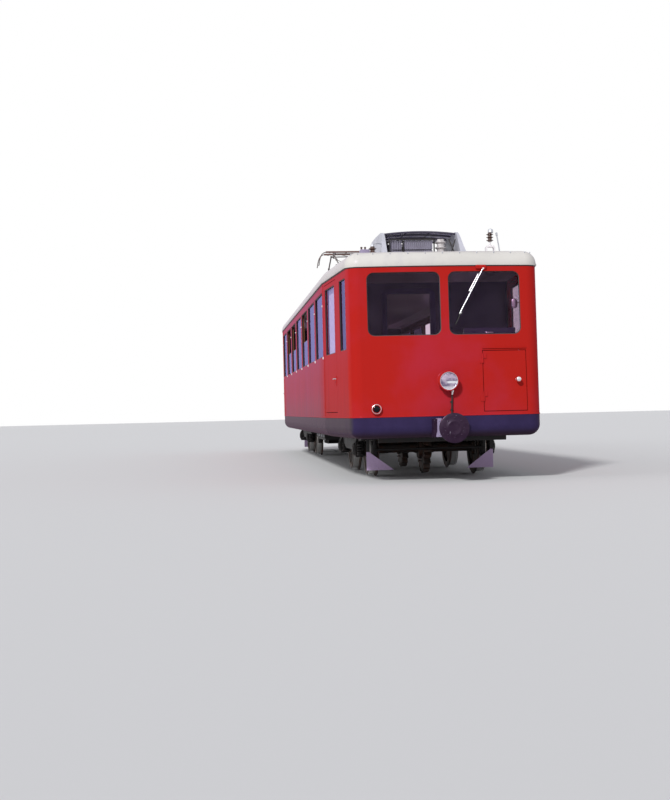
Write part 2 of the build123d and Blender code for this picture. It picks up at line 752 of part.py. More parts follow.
# Bogie frame: side plates with axleboxes, headstocks, bolster
between_plates = 2 * FRAME_X - FRAME_PLATE - 2 * SEAT_GAP
with BuildPart() as bogie:
    for side in (-1, 1):
        with BuildSketch(Plane.YZ.offset(side * FRAME_X - FRAME_PLATE / 2)):
            with BuildLine():
                Polyline(
                    (-FRAME_HALF_LENGTH, FRAME_TOP - FRAME_END_DEPTH),
                    (-WHEELBASE / 2, FRAME_TOP - FRAME_DEPTH),
                    (-FRAME_BELLY_HALF, FRAME_TOP - FRAME_BELLY),
                    (FRAME_BELLY_HALF, FRAME_TOP - FRAME_BELLY),
                    (WHEELBASE / 2, FRAME_TOP - FRAME_DEPTH),
                    (FRAME_HALF_LENGTH, FRAME_TOP - FRAME_END_DEPTH),
                    (FRAME_HALF_LENGTH, FRAME_TOP),
                    (-FRAME_HALF_LENGTH, FRAME_TOP),
                    close=True,
                )
            make_face()
        extrude(amount=FRAME_PLATE)
        for axle in (-1, 1):
            with Locations((side * FRAME_X, axle * WHEELBASE / 2, axle_z)):
                Box(AXLEBOX_DEPTH, AXLEBOX_SIZE, AXLEBOX_SIZE)
            with Locations((side * FRAME_X, axle * WHEELBASE / 2, (axle_z + FRAME_TOP) / 2)):
                Box(2 * FRAME_PLATE, AXLE_GUIDE_WIDTH, FRAME_TOP - axle_z)
            with BuildSketch(Plane.YZ.offset(side * FRAME_X - AXLEBOX_DEPTH)):
                with Locations((axle * WHEELBASE / 2, axle_z)):
                    Circle(JOURNAL_R + SEAT_GAP)
            extrude(amount=2 * AXLEBOX_DEPTH, mode=Mode.SUBTRACT)
    for end in (-1, 1):
        with Locations((0, end * (FRAME_HALF_LENGTH - HEADSTOCK_WIDTH / 2), FRAME_TOP)):
            Box(
                between_plates, HEADSTOCK_WIDTH, FRAME_END_DEPTH,
                align=(Align.CENTER, Align.CENTER, Align.MAX),
            )
    with Locations((0, 0, BOLSTER_TOP)):
        Box(between_plates, BOLSTER_WIDTH, BOLSTER_HEIGHT, align=(Align.CENTER, Align.CENTER, Align.MAX))
    with Locations((0, 0, BOLSTER_TOP)):
        Cylinder(
            PIVOT_PIN_R + SEAT_GAP, BOLSTER_HEIGHT / 2 + SEAT_GAP,
            align=(Align.CENTER, Align.CENTER, Align.MAX),
            mode=Mode.SUBTRACT,
        )
finish(bogie.part.moved(Location((0, -PIVOT_Y, 0))), "bogie_frame_front")
finish(turned(bogie.part.moved(Location((0, -PIVOT_Y, 0)))), "bogie_frame_rear")

# Traction motor of the downhill bogie, hung under its bolster
with BuildPart() as motor:
    with Locations((0, PIVOT_Y, BOLSTER_TOP - BOLSTER_HEIGHT - SEAT_GAP)):
        Box(MOTOR_WIDTH, MOTOR_LENGTH, MOTOR_HEIGHT, align=(Align.CENTER, Align.CENTER, Align.MAX))
finish(motor.part, "motor_block")

# Guard plates ahead of the outer wheels, hung from the bogie's headstock
with BuildPart() as guard:
    guard_face = -PIVOT_Y - FRAME_HALF_LENGTH
    for side in (-1, 1):
        with BuildSketch(Plane.XZ.offset(-guard_face)):
            with BuildLine():
                Polyline(
                    (side * GUARD_OUTER_X, GUARD_BOTTOM),
                    (side * GUARD_INNER_X, GUARD_BOTTOM),
                    (side * (GUARD_OUTER_X - GUARD_HANGER), GUARD_BOTTOM + GUARD_HEIGHT),
                    (side * (GUARD_OUTER_X - GUARD_HANGER), FRAME_TOP),
                    (side * GUARD_OUTER_X, FRAME_TOP),
                    close=True,
                )
            make_face()
        extrude(amount=GUARD_THICK)
finish(guard.part, "guard_front")
finish(turned(guard.part), "guard_rear")


def barrel(x, z, radius, start, length):
    """Round bar along the car from distance start forward."""
    with BuildPart(mode=Mode.PRIVATE) as bar:
        with BuildSketch(Plane.XZ.offset(start)):
            with Locations((x, z)):
                Circle(radius)
        extrude(amount=length)
    return bar.part


# Central buffer on its box
with BuildPart() as buffer:
    with BuildSketch(Plane.XZ.offset(SOLE_END_Y)):
        with Locations((0, BUFFER_Z)):
            Rectangle(BUFFER_BOX_WIDTH, BUFFER_BOX_HEIGHT)
    extrude(amount=BUFFER_BOX_LENGTH)
    add(barrel(0, BUFFER_Z, BUFFER_COLLAR_R, BUFFER_BOX_REACH, BUFFER_COLLAR))
    add(barrel(0, BUFFER_Z, BUFFER_STEM_R, BUFFER_BOX_REACH, BUFFER_REACH - BUFFER_BOX_REACH - BUFFER_DISC))
    add(barrel(0, BUFFER_Z, BUFFER_R, BUFFER_REACH - BUFFER_DISC, BUFFER_DISC))
finish(buffer.part, "buffer_front")
finish(turned(buffer.part), "buffer_rear")

# Headlamp and marker lamp: housings, then lenses
lamp_y = -front_y(0, HEADLAMP_Z)
marker_y = -front_y(MARKER_X, MARKER_Z)
lens_y = lamp_y + HEADLAMP_LENGTH - LENS_THICK
marker_lens_y = marker_y + MARKER_LENGTH - LENS_THICK
front_block = end_block(SKIRT_TOP, GUTTER_Z, 0.0)
headlamp_body = barrel(0, HEADLAMP_Z, HEADLAMP_BODY_R, lamp_y - LAMP_SEAT, LAMP_SEAT + HEADLAMP_LENGTH / 2)
with BuildPart() as lamps:
    add(headlamp_body - front_block)
    add(barrel(0, HEADLAMP_Z, HEADLAMP_R, lamp_y + HEADLAMP_LENGTH - HEADLAMP_RIM, HEADLAMP_RIM))
    add(barrel(0, HEADLAMP_Z, LENS_R + SEAT_GAP, lens_y, LENS_THICK), mode=Mode.SUBTRACT)
    add(barrel(MARKER_X, MARKER_Z, MARKER_R, marker_y - LAMP_SEAT, LAMP_SEAT + MARKER_LENGTH) - front_block)
    add(barrel(MARKER_X, MARKER_Z, MARKER_LENS_R + SEAT_GAP, marker_lens_y, LENS_THICK), mode=Mode.SUBTRACT)
with BuildPart() as lenses:
    add(barrel(0, HEADLAMP_Z, LENS_R, lens_y, LENS_THICK))
    add(barrel(MARKER_X, MARKER_Z, MARKER_LENS_R, marker_lens_y, LENS_THICK))
finish(lamps.part, "lamps_front")
finish(turned(lamps.part), "lamps_rear")
finish(lenses.part, "lenses_front")
finish(turned(lenses.part), "lenses_rear")

# Pantograph: base frame on four insulators
rail_top = PANTO_SHAFT_Z - PANTO_RAIL
rail_bottom = rail_top - PANTO_RAIL
with BuildPart() as panto_base:
    for side in (-1, 1):
        with Locations((side * PANTO_BASE_X, PANTO_Y, rail_top)):
            Box(
                PANTO_RAIL, 2 * PANTO_BASE_HALF_LENGTH, PANTO_RAIL,
                align=(Align.CENTER, Align.CENTER, Align.MAX),
            )
        for end in (-1, 1):
            with Locations((side * PANTO_BASE_X, PANTO_Y + end * PANTO_SHAFT_SPREAD, rail_top)):
                Box(
                    PANTO_RAIL / 2, PANTO_EAR, PANTO_RAIL + PANTO_EAR / 2,
                    align=(Align.CENTER, Align.CENTER, Align.MIN),
                )
    for end in (-1, 1):
        with Locations((0, PANTO_Y + end * (PANTO_BASE_HALF_LENGTH - PANTO_RAIL / 2), rail_top)):
            Box(2 * PANTO_BASE_X, PANTO_RAIL, PANTO_RAIL, align=(Align.CENTER, Align.CENTER, Align.MAX))
        with BuildSketch(Plane.YZ.offset(-PANTO_BASE_X - PANTO_RAIL)):
            with Locations((PANTO_Y + end * PANTO_SHAFT_SPREAD, PANTO_SHAFT_Z)):
                Circle(SHAFT_R + SEAT_GAP)
        extrude(amount=2 * (PANTO_BASE_X + PANTO_RAIL), mode=Mode.SUBTRACT)
    for side in (-1, 1):
        for end in (-1, 1):
            foot_y = PANTO_Y + end * (PANTO_BASE_HALF_LENGTH - PANTO_RAIL)
            with Locations((side * PANTO_BASE_X, foot_y, (ROOF_EDGE_Z + rail_bottom) / 2)):
                Cylinder(INSULATOR_R, rail_bottom - ROOF_EDGE_Z - 2 * SEAT_GAP)
finish(panto_base.part, "pantograph_base")

# Pantograph arms: the half towards the front, as a diamond that folds flat
arm = math.radians(ARM_ANGLE)
shaft_y = PANTO_Y - PANTO_SHAFT_SPREAD
knee_y = shaft_y - ARM_LENGTH * math.cos(arm)
knee_z = PANTO_SHAFT_Z + ARM_LENGTH * math.sin(arm)
head_pin_z = PANTO_SHAFT_Z + 2 * ARM_LENGTH * math.sin(arm)


def rod(start, end, radius):
    """Round bar between two points."""
    path = Vector(*end) - Vector(*start)
    with BuildPart(mode=Mode.PRIVATE) as bar:
        with BuildSketch(Plane(origin=start, z_dir=path)):
            Circle(radius)
        extrude(amount=path.length)
    return bar.part


shaft_x = PANTO_BASE_X + PANTO_RAIL / 2
with BuildPart() as lower_arm:
    add(rod((-shaft_x, shaft_y, PANTO_SHAFT_Z), (shaft_x, shaft_y, PANTO_SHAFT_Z), SHAFT_R))
    add(rod((-LOWER_ARM_X, knee_y, knee_z), (LOWER_ARM_X, knee_y, knee_z), KNEE_R))
    for side in (-1, 1):
        arm_x = side * LOWER_ARM_X
        add(rod((arm_x, shaft_y, PANTO_SHAFT_Z), (arm_x, knee_y, knee_z), LOWER_ARM_R))
        with Locations(Location((arm_x, knee_y, knee_z), (0, 90, 0))):
            Cylinder(EYE_R, EYE_WIDTH)
with BuildPart() as upper_arm:
    for side in (-1, 1):
        add(rod((side * UPPER_ARM_X, knee_y, knee_z), (side * UPPER_ARM_X, shaft_y, head_pin_z), UPPER_ARM_R))
        with Locations(Location((side * UPPER_ARM_X, knee_y, knee_z), (0, 90, 0))):
            Cylinder(EYE_R, EYE_WIDTH)
        with Locations(Location((side * UPPER_ARM_X, shaft_y, head_pin_z), (0, 90, 0))):
            Cylinder(HEAD_EYE_R, EYE_WIDTH)
    add(rod((-UPPER_ARM_X, shaft_y, head_pin_z), (UPPER_ARM_X, shaft_y, head_pin_z), HEAD_PIN_R))
    bore = rod((-LOWER_ARM_X, knee_y, knee_z), (LOWER_ARM_X, knee_y, knee_z), KNEE_R + SEAT_GAP)
    add(bore, mode=Mode.SUBTRACT)
for piece, name in ((lower_arm.part, "panto_lower_arm"), (upper_arm.part, "panto_upper_arm")):
    finish(piece, f"{name}_front")
    finish(piece.rotate(Axis((0, PANTO_Y, 0), (0, 0, 1)), 180), f"{name}_rear")

# Pantograph head: two contact strips with down-turned horns on two carriers
strip_top = head_pin_z + HEAD_STRIP_RISE
carrier_top = strip_top - HEAD_STRIP_HEIGHT
carrier_x = UPPER_ARM_X - EYE_WIDTH / 2 - HEAD_EYE_GAP - HEAD_CARRIER / 2
with BuildPart() as head:
    for end in (-1, 1):
        strip_y = PANTO_Y + end * HEAD_STRIP_SPREAD
        with Locations((0, strip_y, strip_top)):
            Box(
                2 * HEAD_HALF_WIDTH, HEAD_STRIP_WIDTH, HEAD_STRIP_HEIGHT,
                align=(Align.CENTER, Align.CENTER, Align.MAX),
            )
        with BuildSketch(Plane.XZ.offset(-strip_y)):
            for side in (-1, 1):
                centre = (side * HEAD_HALF_WIDTH, strip_top - HORN_R - HORN_THICK)
                with BuildLine():
                    outer = CenterArc(centre, HORN_R + HORN_THICK, 90, -side * HORN_ARC)
                    inner = CenterArc(centre, HORN_R, 90, -side * HORN_ARC)
                    Line(outer @ 0, inner @ 0)
                    Line(outer @ 1, inner @ 1)
                make_face()
        extrude(amount=HORN_WIDTH / 2, both=True)
    for side in (-1, 1):
        with Locations((side * carrier_x, PANTO_Y, carrier_top)):
            Box(
                HEAD_CARRIER, 2 * HEAD_STRIP_SPREAD + HEAD_STRIP_WIDTH, HEAD_CARRIER,
                align=(Align.CENTER, Align.CENTER, Align.MAX),
            )
        hanger_top = (side * carrier_x, PANTO_Y - HEAD_STRIP_SPREAD, carrier_top)
        add(rod(hanger_top, (side * carrier_x, shaft_y, head_pin_z), HANGER_R))
        with Locations(Location((side * carrier_x, shaft_y, head_pin_z), (0, 90, 0))):
            Cylinder(HEAD_EYE_R, HEAD_CARRIER)
    pin_hole = rod(
        (-UPPER_ARM_X, shaft_y, head_pin_z), (UPPER_ARM_X, shaft_y, head_pin_z), HEAD_PIN_R + SEAT_GAP
    )
    add(pin_hole, mode=Mode.SUBTRACT)
finish(head.part, "pantograph_head")

# Resistor hood: two tapered cheeks, an arched bar at each end and the mesh between them
hood_middle_y = -HOOD_START_Y + HOOD_LENGTH / 2
hood_turn = math.pi / 2 - math.atan2(HOOD_LEAN, HOOD_TOP_Z - ROOF_EDGE_Z)
flat_half = HOOD_LENGTH / 2 - HOOD_LEAN - HOOD_CORNER_R * math.tan(hood_turn / 2)
arch_x = HOOD_INNER_X - SEAT_GAP
with BuildPart() as cheek:
    with BuildSketch(Plane.YZ) as side_view:
        with BuildLine():
            Polyline(
                (hood_middle_y - HOOD_LENGTH / 2, ROOF_EDGE_Z),
                (hood_middle_y - HOOD_LENGTH / 2 + HOOD_LEAN, HOOD_TOP_Z),
                (hood_middle_y + HOOD_LENGTH / 2 - HOOD_LEAN, HOOD_TOP_Z),
                (hood_middle_y + HOOD_LENGTH / 2, ROOF_EDGE_Z),
                close=True,
            )
        make_face()
        fillet(side_view.vertices().group_by(Axis.Y)[-1], HOOD_CORNER_R)
    extrude(amount=HOOD_OUTER_X)
    with BuildSketch(Plane.XZ.offset(HOOD_START_Y)):
        with BuildLine():
            Polyline(
                (HOOD_INNER_X, ROOF_EDGE_Z),
                (HOOD_OUTER_X, ROOF_EDGE_Z),
                (HOOD_OUTER_TOP_X, HOOD_TOP_Z),
                (HOOD_INNER_X, HOOD_TOP_Z),
                close=True,
            )
        make_face()
    extrude(amount=-HOOD_LENGTH, mode=Mode.INTERSECT)
with BuildPart() as hood:
    add(both_sides(cheek.part))
    for arch_start, arch_length, thick in (
        (-flat_half - HOOD_ARCH_BAR / 2, HOOD_ARCH_BAR, HOOD_ARCH_BAR),
        (-flat_half + HOOD_ARCH_BAR / 2 + SEAT_GAP, 2 * flat_half - HOOD_ARCH_BAR - 2 * SEAT_GAP, HOOD_MESH),
        (flat_half - HOOD_ARCH_BAR / 2, HOOD_ARCH_BAR, HOOD_ARCH_BAR),
    ):
        with BuildSketch(Plane.XZ.offset(-hood_middle_y - arch_start)):
            with BuildLine():
                upper = ThreePointArc(
                    (-arch_x, HOOD_TOP_Z),
                    (0, HOOD_TOP_Z + HOOD_ARCH),
                    (arch_x, HOOD_TOP_Z),
                )
                lower = ThreePointArc(
                    (-arch_x, HOOD_TOP_Z - thick),
                    (0, HOOD_TOP_Z + HOOD_ARCH - thick),
                    (arch_x, HOOD_TOP_Z - thick),
                )
                Line(upper @ 0, lower @ 0)
                Line(upper @ 1, lower @ 1)
            make_face()
        extrude(amount=-arch_length)
finish(hood.part, "resistor_hood")

tray_top = ROOF_EDGE_Z + RESISTOR_TRAY
last_row = (RESISTOR_ROWS - 1) / 2 * RESISTOR_PITCH
with BuildPart() as resistors:
    with Locations((0, hood_middle_y, ROOF_EDGE_Z)):
        Box(
            2 * (HOOD_INNER_X - TRAY_INSET), 2 * last_row + RESISTOR_DEPTH, RESISTOR_TRAY,
            align=(Align.CENTER, Align.CENTER, Align.MIN),
        )
    for row in range(RESISTOR_ROWS):
        row_y = hood_middle_y - last_row + row * RESISTOR_PITCH
        with Locations((RESISTOR_LEFT_X, row_y, tray_top + SEAT_GAP)):
            Box(
                RESISTOR_RIGHT_X - RESISTOR_LEFT_X, RESISTOR_DEPTH, RESISTOR_HEIGHT,
                align=(Align.MIN, Align.CENTER, Align.MIN),
            )
    for end in (-1, 1):
        with Locations((STACK_X, hood_middle_y + end * last_row, tray_top + SEAT_GAP)):
            Cylinder(STACK_R, RESISTOR_HEIGHT, align=(Align.CENTER, Align.CENTER, Align.MIN))
finish(resistors.part, "resistor_bank")

# Lightning arrester and whistle on the roof at the front
foot_width, foot_depth, foot_height = ARRESTER_FOOT
with BuildPart() as arrester:
    with Locations((ARRESTER_X, -ARRESTER_Y, ROOF_EDGE_Z)):
        Box(foot_width, foot_depth, foot_height, align=(Align.CENTER, Align.CENTER, Align.MIN))
        Box(
            foot_width - 2 * ARRESTER_FOOT_LEG, 2 * foot_depth, foot_height - ARRESTER_FOOT_LEG,
            align=(Align.CENTER, Align.CENTER, Align.MIN),
            mode=Mode.SUBTRACT,
        )
    with Locations((ARRESTER_X, -ARRESTER_Y, ROOF_EDGE_Z + foot_height)):
        Cylinder(
            ARRESTER_POST_R, ARRESTER_TOP_Z - ROOF_EDGE_Z - foot_height,
            align=(Align.CENTER, Align.CENTER, Align.MIN),
        )
    for disc in range(ARRESTER_DISCS):
        disc_z = ROOF_EDGE_Z + ARRESTER_FIRST_DISC + disc * ARRESTER_DISC_PITCH
        with Locations((ARRESTER_X, -ARRESTER_Y, disc_z)):
            Cylinder(ARRESTER_DISC_R, ARRESTER_DISC)
finish(arrester.part, "lightning_arrester")

with BuildPart() as whistle:
    with Locations((WHISTLE_X, -ARRESTER_Y, ROOF_EDGE_Z)):
        Cylinder(WHISTLE_PIPE_R, WHISTLE_TOP_Z - ROOF_EDGE_Z, align=(Align.CENTER, Align.CENTER, Align.MIN))
    with Locations((WHISTLE_X, -ARRESTER_Y, WHISTLE_TOP_Z)):
        Cylinder(WHISTLE_R, WHISTLE_LENGTH, align=(Align.CENTER, Align.CENTER, Align.MAX))
finish(whistle.part, "whistle")

# Inside: partitions behind the platforms, benches, driver's desks
floor_z = SKIRT_TOP + FLOOR_THICK
with BuildPart() as partitions:
    for end in (-1, 1):
        with BuildSketch(Plane.XZ.offset(-end * PARTITION_Y - PARTITION_THICK / 2)):
            with Locations((0, (floor_z + GUTTER_Z) / 2)):
                Rectangle(2 * (HALF_WIDTH - WALL - SEAT_GAP), GUTTER_Z - floor_z)
            with Locations((end * PASSAGE_X, (floor_z + PASSAGE_TOP) / 2)):
                Rectangle(PASSAGE_WIDTH, PASSAGE_TOP - floor_z, mode=Mode.SUBTRACT)
        extrude(amount=PARTITION_THICK)
finish(partitions.part, "partitions")

bench_x = HALF_WIDTH - WALL - SEAT_GAP - BENCH_WIDTH / 2
seat_bottom = BENCH_SEAT_Z - BENCH_BOARD
with BuildPart() as benches:
    for index in range(WINDOW_COUNT - 1):
        bench_y = (index - (WINDOW_COUNT - 2) / 2) * WINDOW_PITCH
        for side in (-1, 1):
            with Locations((side * bench_x, bench_y, floor_z)):
                Box(
                    BENCH_WIDTH, BENCH_PEDESTAL, seat_bottom - floor_z - SEAT_GAP,
                    align=(Align.CENTER, Align.CENTER, Align.MIN),
                )
            with Locations((side * bench_x, bench_y, seat_bottom)):
                Box(BENCH_WIDTH, 2 * BENCH_DEPTH, BENCH_BOARD, align=(Align.CENTER, Align.CENTER, Align.MIN))
            with Locations((side * bench_x, bench_y, BENCH_BACK_Z)):
                Box(
                    BENCH_WIDTH, BENCH_BOARD, BENCH_BACK_Z - BENCH_SEAT_Z - SEAT_GAP,
                    align=(Align.CENTER, Align.CENTER, Align.MAX),
                )
finish(benches.part, "benches")

with BuildPart() as desk:
    with Locations((DESK_X, -DESK_Y, floor_z)):
        Box(DESK_WIDTH, DESK_DEPTH, DESK_TOP_Z - floor_z, align=(Align.CENTER, Align.CENTER, Align.MIN))
    with Locations((DESK_X, -DESK_Y, DESK_TOP_Z)):
        Cylinder(WHEEL_POST_R, WHEEL_POST, align=(Align.CENTER, Align.CENTER, Align.MIN))
    with Locations((DESK_X, -DESK_Y, DESK_TOP_Z + WHEEL_POST)):
        Cylinder(HAND_WHEEL_R, HAND_WHEEL, align=(Align.CENTER, Align.CENTER, Align.MIN))
    with Locations((DESK_X, -DESK_Y + STOOL_BEHIND, floor_z)):
        Cylinder(STOOL_POST_R, STOOL_Z - floor_z, align=(Align.CENTER, Align.CENTER, Align.MIN))
    with Locations((DESK_X, -DESK_Y + STOOL_BEHIND, STOOL_Z)):
        Cylinder(STOOL_R, STOOL_SEAT, align=(Align.CENTER, Align.CENTER, Align.MIN))
finish(desk.part, "driver_desk_front")
finish(turned(desk.part), "driver_desk_rear")

# Equipment under the floor, between the bogies
with BuildPart() as underfloor_boxes:
    for box_x, box_y, width, length, height in UNDERFLOOR_BOXES:
        with Locations((box_x, box_y, SKIRT_TOP - CROSS_DEPTH - SEAT_GAP)):
            Box(width, length, height, align=(Align.CENTER, Align.CENTER, Align.MAX))
finish(underfloor_boxes.part, "underfloor_boxes")

with BuildPart() as air_tanks:
    for tank_x in AIR_TANK_XS:
        add(barrel(tank_x, AIR_TANK_Z, AIR_TANK_R, -AIR_TANK_Y - AIR_TANK_LENGTH / 2, AIR_TANK_LENGTH))
        for end in (-1, 1):
            with Locations((tank_x, AIR_TANK_Y + end * AIR_TANK_LENGTH / 4, SKIRT_TOP)):
                Box(
                    TANK_STRAP_WIDTH, TANK_STRAP, SKIRT_TOP - AIR_TANK_Z,
                    align=(Align.CENTER, Align.CENTER, Align.MAX),
                )
finish(air_tanks.part, "air_tanks")

# Wipers above the driver's windows
blade_x = WIPER_X - WIPER_SPAN_X
blade_z = WIPER_Z - WIPER_SPAN_Z
arm_top = (WIPER_X, front_y(WIPER_X, WIPER_Z) - WIPER_OFF, WIPER_Z)
arm_bottom = (blade_x, front_y(blade_x, blade_z) - WIPER_OFF, blade_z)
wiper_boss = barrel(WIPER_X, WIPER_Z, WIPER_BOSS_R, -arm_top[1] - WIPER_BOSS, WIPER_BOSS + WIPER_ARM_R)
with BuildPart() as wiper:
    add(wiper_boss - front_block)
    add(rod(arm_top, arm_bottom, WIPER_ARM_R))
finish(wiper.part, "wiper_front")
finish(turned(wiper.part), "wiper_rear")
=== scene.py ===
import json
import math

import bmesh
import bpy
import numpy as np
from mathutils import Matrix, Vector


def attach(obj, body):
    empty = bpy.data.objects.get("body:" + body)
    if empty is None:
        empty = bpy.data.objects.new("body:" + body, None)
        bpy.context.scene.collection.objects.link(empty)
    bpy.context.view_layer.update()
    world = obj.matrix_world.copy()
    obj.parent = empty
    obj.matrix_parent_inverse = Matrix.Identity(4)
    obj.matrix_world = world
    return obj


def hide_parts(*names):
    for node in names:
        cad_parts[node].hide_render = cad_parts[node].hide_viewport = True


# An electric rack railway railcar: red body, pale roof, slate skirt, pantograph and resistor hood.
# X is across the car, Y along it with the uphill end at -Y, Z up. Lengths are in metres.

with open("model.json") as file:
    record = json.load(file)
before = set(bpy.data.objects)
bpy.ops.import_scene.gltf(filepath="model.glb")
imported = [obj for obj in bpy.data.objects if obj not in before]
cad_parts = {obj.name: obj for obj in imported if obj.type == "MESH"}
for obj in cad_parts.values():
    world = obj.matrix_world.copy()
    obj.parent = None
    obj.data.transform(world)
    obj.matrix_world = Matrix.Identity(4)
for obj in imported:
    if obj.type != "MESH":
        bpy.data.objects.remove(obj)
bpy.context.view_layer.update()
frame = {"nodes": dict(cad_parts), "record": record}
nodes = frame["nodes"]


# Shader maths

class Wire:
    """A socket of a finish that takes part in arithmetic: each operator adds a Math node."""

    def __init__(self, finish, socket):
        self.finish = finish
        self.socket = socket

    def maths(self, operation, *values):
        return self.finish.node("ShaderNodeMath", {"operation": operation}, values)

    def __add__(self, other):
        return self.maths("ADD", self, other)

    def __sub__(self, other):
        return self.maths("SUBTRACT", self, other)

    def __rsub__(self, other):
        return self.maths("SUBTRACT", other, self)

    def __mul__(self, other):
        return self.maths("MULTIPLY", self, other)

    def __truediv__(self, other):
        return self.maths("DIVIDE", self, other)

    __radd__ = __add__
    __rmul__ = __mul__

    def sine(self):
        return self.maths("SINE", self)

    def size(self):
        return self.maths("ABSOLUTE", self)

    def fraction(self):
        return self.maths("FRACT", self)

    def at_most(self, limit):
        return self.maths("MINIMUM", self, limit)

    def step(self, low, high):
        """0 at low, 1 at high and a smooth rise between; a fall where low is above high."""
        ends = {3: 0.0, 4: 1.0} if low < high else {3: 1.0, 4: 0.0}
        settings = {"interpolation_type": "SMOOTHSTEP"}
        inputs = {0: self, 1: min(low, high), 2: max(low, high), **ends}
        return self.finish.node("ShaderNodeMapRange", settings, inputs)


class Finish:
    """A material under construction, with one Principled shader."""

    def __init__(self, name, color, roughness, metallic=0.0, **constants):
        self.material = bpy.data.materials.new(name)
        self.material.use_nodes = True
        self.material.diffuse_color = (*color, 1.0)
        self.tree = self.material.node_tree
        self.shader = self.tree.nodes["Principled BSDF"]
        self.output = self.tree.nodes["Material Output"]
        constants.update({"Base Color": (*color, 1.0), "Roughness": roughness, "Metallic": metallic})
        for socket, value in constants.items():
            self.put(socket.replace("_", " "), value)
        self.made_place = None
        self.relief = None

    def put(self, socket, value):
        """Sets a shader socket to a constant or links a wire to it."""
        self.feed(self.shader.inputs[socket], value)

    def feed(self, target, value):
        """Links a wire to any socket, or sets the socket to a value; a colour gets its alpha."""
        if isinstance(value, Wire):
            self.tree.links.new(value.socket, target)
        elif isinstance(value, tuple) and len(value) == 3 and target.type == "RGBA":
            target.default_value = (*value, 1.0)
        else:
            target.default_value = value

    def node(self, kind, settings=None, inputs=(), output=0):
        """Adds a node: its settings first, then the values or links of its sockets."""
        made = self.tree.nodes.new(kind)
        for key, value in (settings or {}).items():
            setattr(made, key, value)
        for key, value in inputs.items() if isinstance(inputs, dict) else enumerate(inputs):
            self.feed(made.inputs[key], value)
        return Wire(self, made.outputs[output])

    def place(self):
        """Object coordinates of the surface point."""
        if self.made_place is None:
            self.made_place = self.node("ShaderNodeTexCoord", output="Object")
        return self.made_place

    def axis(self, letter):
        """One coordinate of the surface point."""
        return self.node("ShaderNodeSeparateXYZ", None, [self.place()], output=letter)

    def facing(self, letter):
        """One component of the surface normal in the car's frame."""
        normal = self.node("ShaderNodeNewGeometry", output="Normal")
        return self.node("ShaderNodeSeparateXYZ", None, [normal], output=letter)

    def stretched(self, x, y, z):
        """Surface point with each axis scaled."""
        return self.node("ShaderNodeMapping", None, {0: self.place(), 3: (x, y, z)})

    def noise(self, scale, detail=3.0, roughness=0.5, where=None):
        inputs = {"Vector": where or self.place(), "Scale": scale, "Detail": detail, "Roughness": roughness}
        return self.node("ShaderNodeTexNoise", None, inputs)

    def mix(self, factor, first, second):
        """Colour between first and second by factor."""
        return self.node("ShaderNodeMix", {"data_type": "RGBA"}, {0: factor, 6: first, 7: second}, output=2)

    def glossy(self, tint, roughness):
        """Tinted mirror that follows the finish's relief."""
        inputs = {"Color": tint, "Roughness": roughness}
        if self.relief is not None:
            inputs["Normal"] = self.relief
        return self.node("ShaderNodeBsdfGlossy", None, inputs)

    def grazing(self, index):
        """Share of light that a clear film of this index of refraction mirrors."""
        return self.node("ShaderNodeFresnel", None, {"IOR": index})

    def layer(self, factor, below, above):
        """The material's surface: above shown over below by a factor."""
        both = self.node("ShaderNodeMixShader", None, {0: factor, 1: below, 2: above})
        self.tree.links.new(both.socket, self.output.inputs[0])
        return self.material

    def coat(self, base, roughness, relief, strength, depth, mirror=None):
        """Gives the shader its colour, roughness and relief, and lays a mirror over it.

        The mirror is a tint, a roughness and a most: it grows towards a grazing view up to that most.
        """
        if base is not None:
            self.put("Base Color", base)
        if roughness is not None:
            self.put("Roughness", roughness)
        inputs = {"Strength": strength, "Distance": depth, "Height": relief}
        self.relief = self.node("ShaderNodeBump", None, inputs)
        self.put("Normal", self.relief)
        if mirror is None:
            return self.material
        tint, gloss, most = mirror
        enamel = Wire(self, self.shader.outputs[0])
        return self.layer(self.grazing(1.45) * most, enamel, self.glossy(tint, gloss))


def shade(color, factor):
    """The colour made darker or lighter by a factor."""
    return tuple(min(1.0, channel * factor) for channel in color)


# Colours as linear values
RED = (0.400, 0.0150, 0.0105)
# The next three reds also hold painted light: the faded red doubles as a painted sky reflection, then painted warm
# light, then a painted rosy highlight.
RED_FADED_AND_SKY_SHEEN = (0.400, 0.036, 0.085)
RED_PAINTED_WARM_LIGHT = (0.50, 0.030, 0.020)
RED_PAINTED_HIGHLIGHT = (0.66, 0.10, 0.20)
RED_DEEP = (0.110, 0.010, 0.008)
SILVER = (0.62, 0.60, 0.56)
SLATE = (0.026, 0.019, 0.060)
SOOT = (0.010, 0.009, 0.010)
DUST = (0.130, 0.085, 0.055)
RUST = (0.120, 0.045, 0.022)
STEEL = (0.085, 0.075, 0.070)
TREAD = (0.55, 0.54, 0.52)
HOOD_GREY = (0.50, 0.50, 0.56)
GALVANISED = (0.50, 0.51, 0.55)
WOOD = (0.210, 0.085, 0.030)
CABIN = (0.030, 0.022, 0.075)
LINOLEUM = (0.040, 0.026, 0.018)
COPPER = (0.17, 0.095, 0.085)
PORCELAIN = (0.56, 0.53, 0.53)
PALE_LILAC = (0.30, 0.25, 0.38)
PANEL_BROWN = (0.150, 0.070, 0.032)
DOORWAY_BLUE = (0.060, 0.042, 0.160)
BROWN_GLAZE = (0.060, 0.022, 0.014)
LILAC_GREY = (0.62, 0.45, 0.70)
RUBBER = (0.012, 0.011, 0.012)
CHROME = (0.72, 0.72, 0.75)
CLOTH = (0.86, 0.76, 0.90)

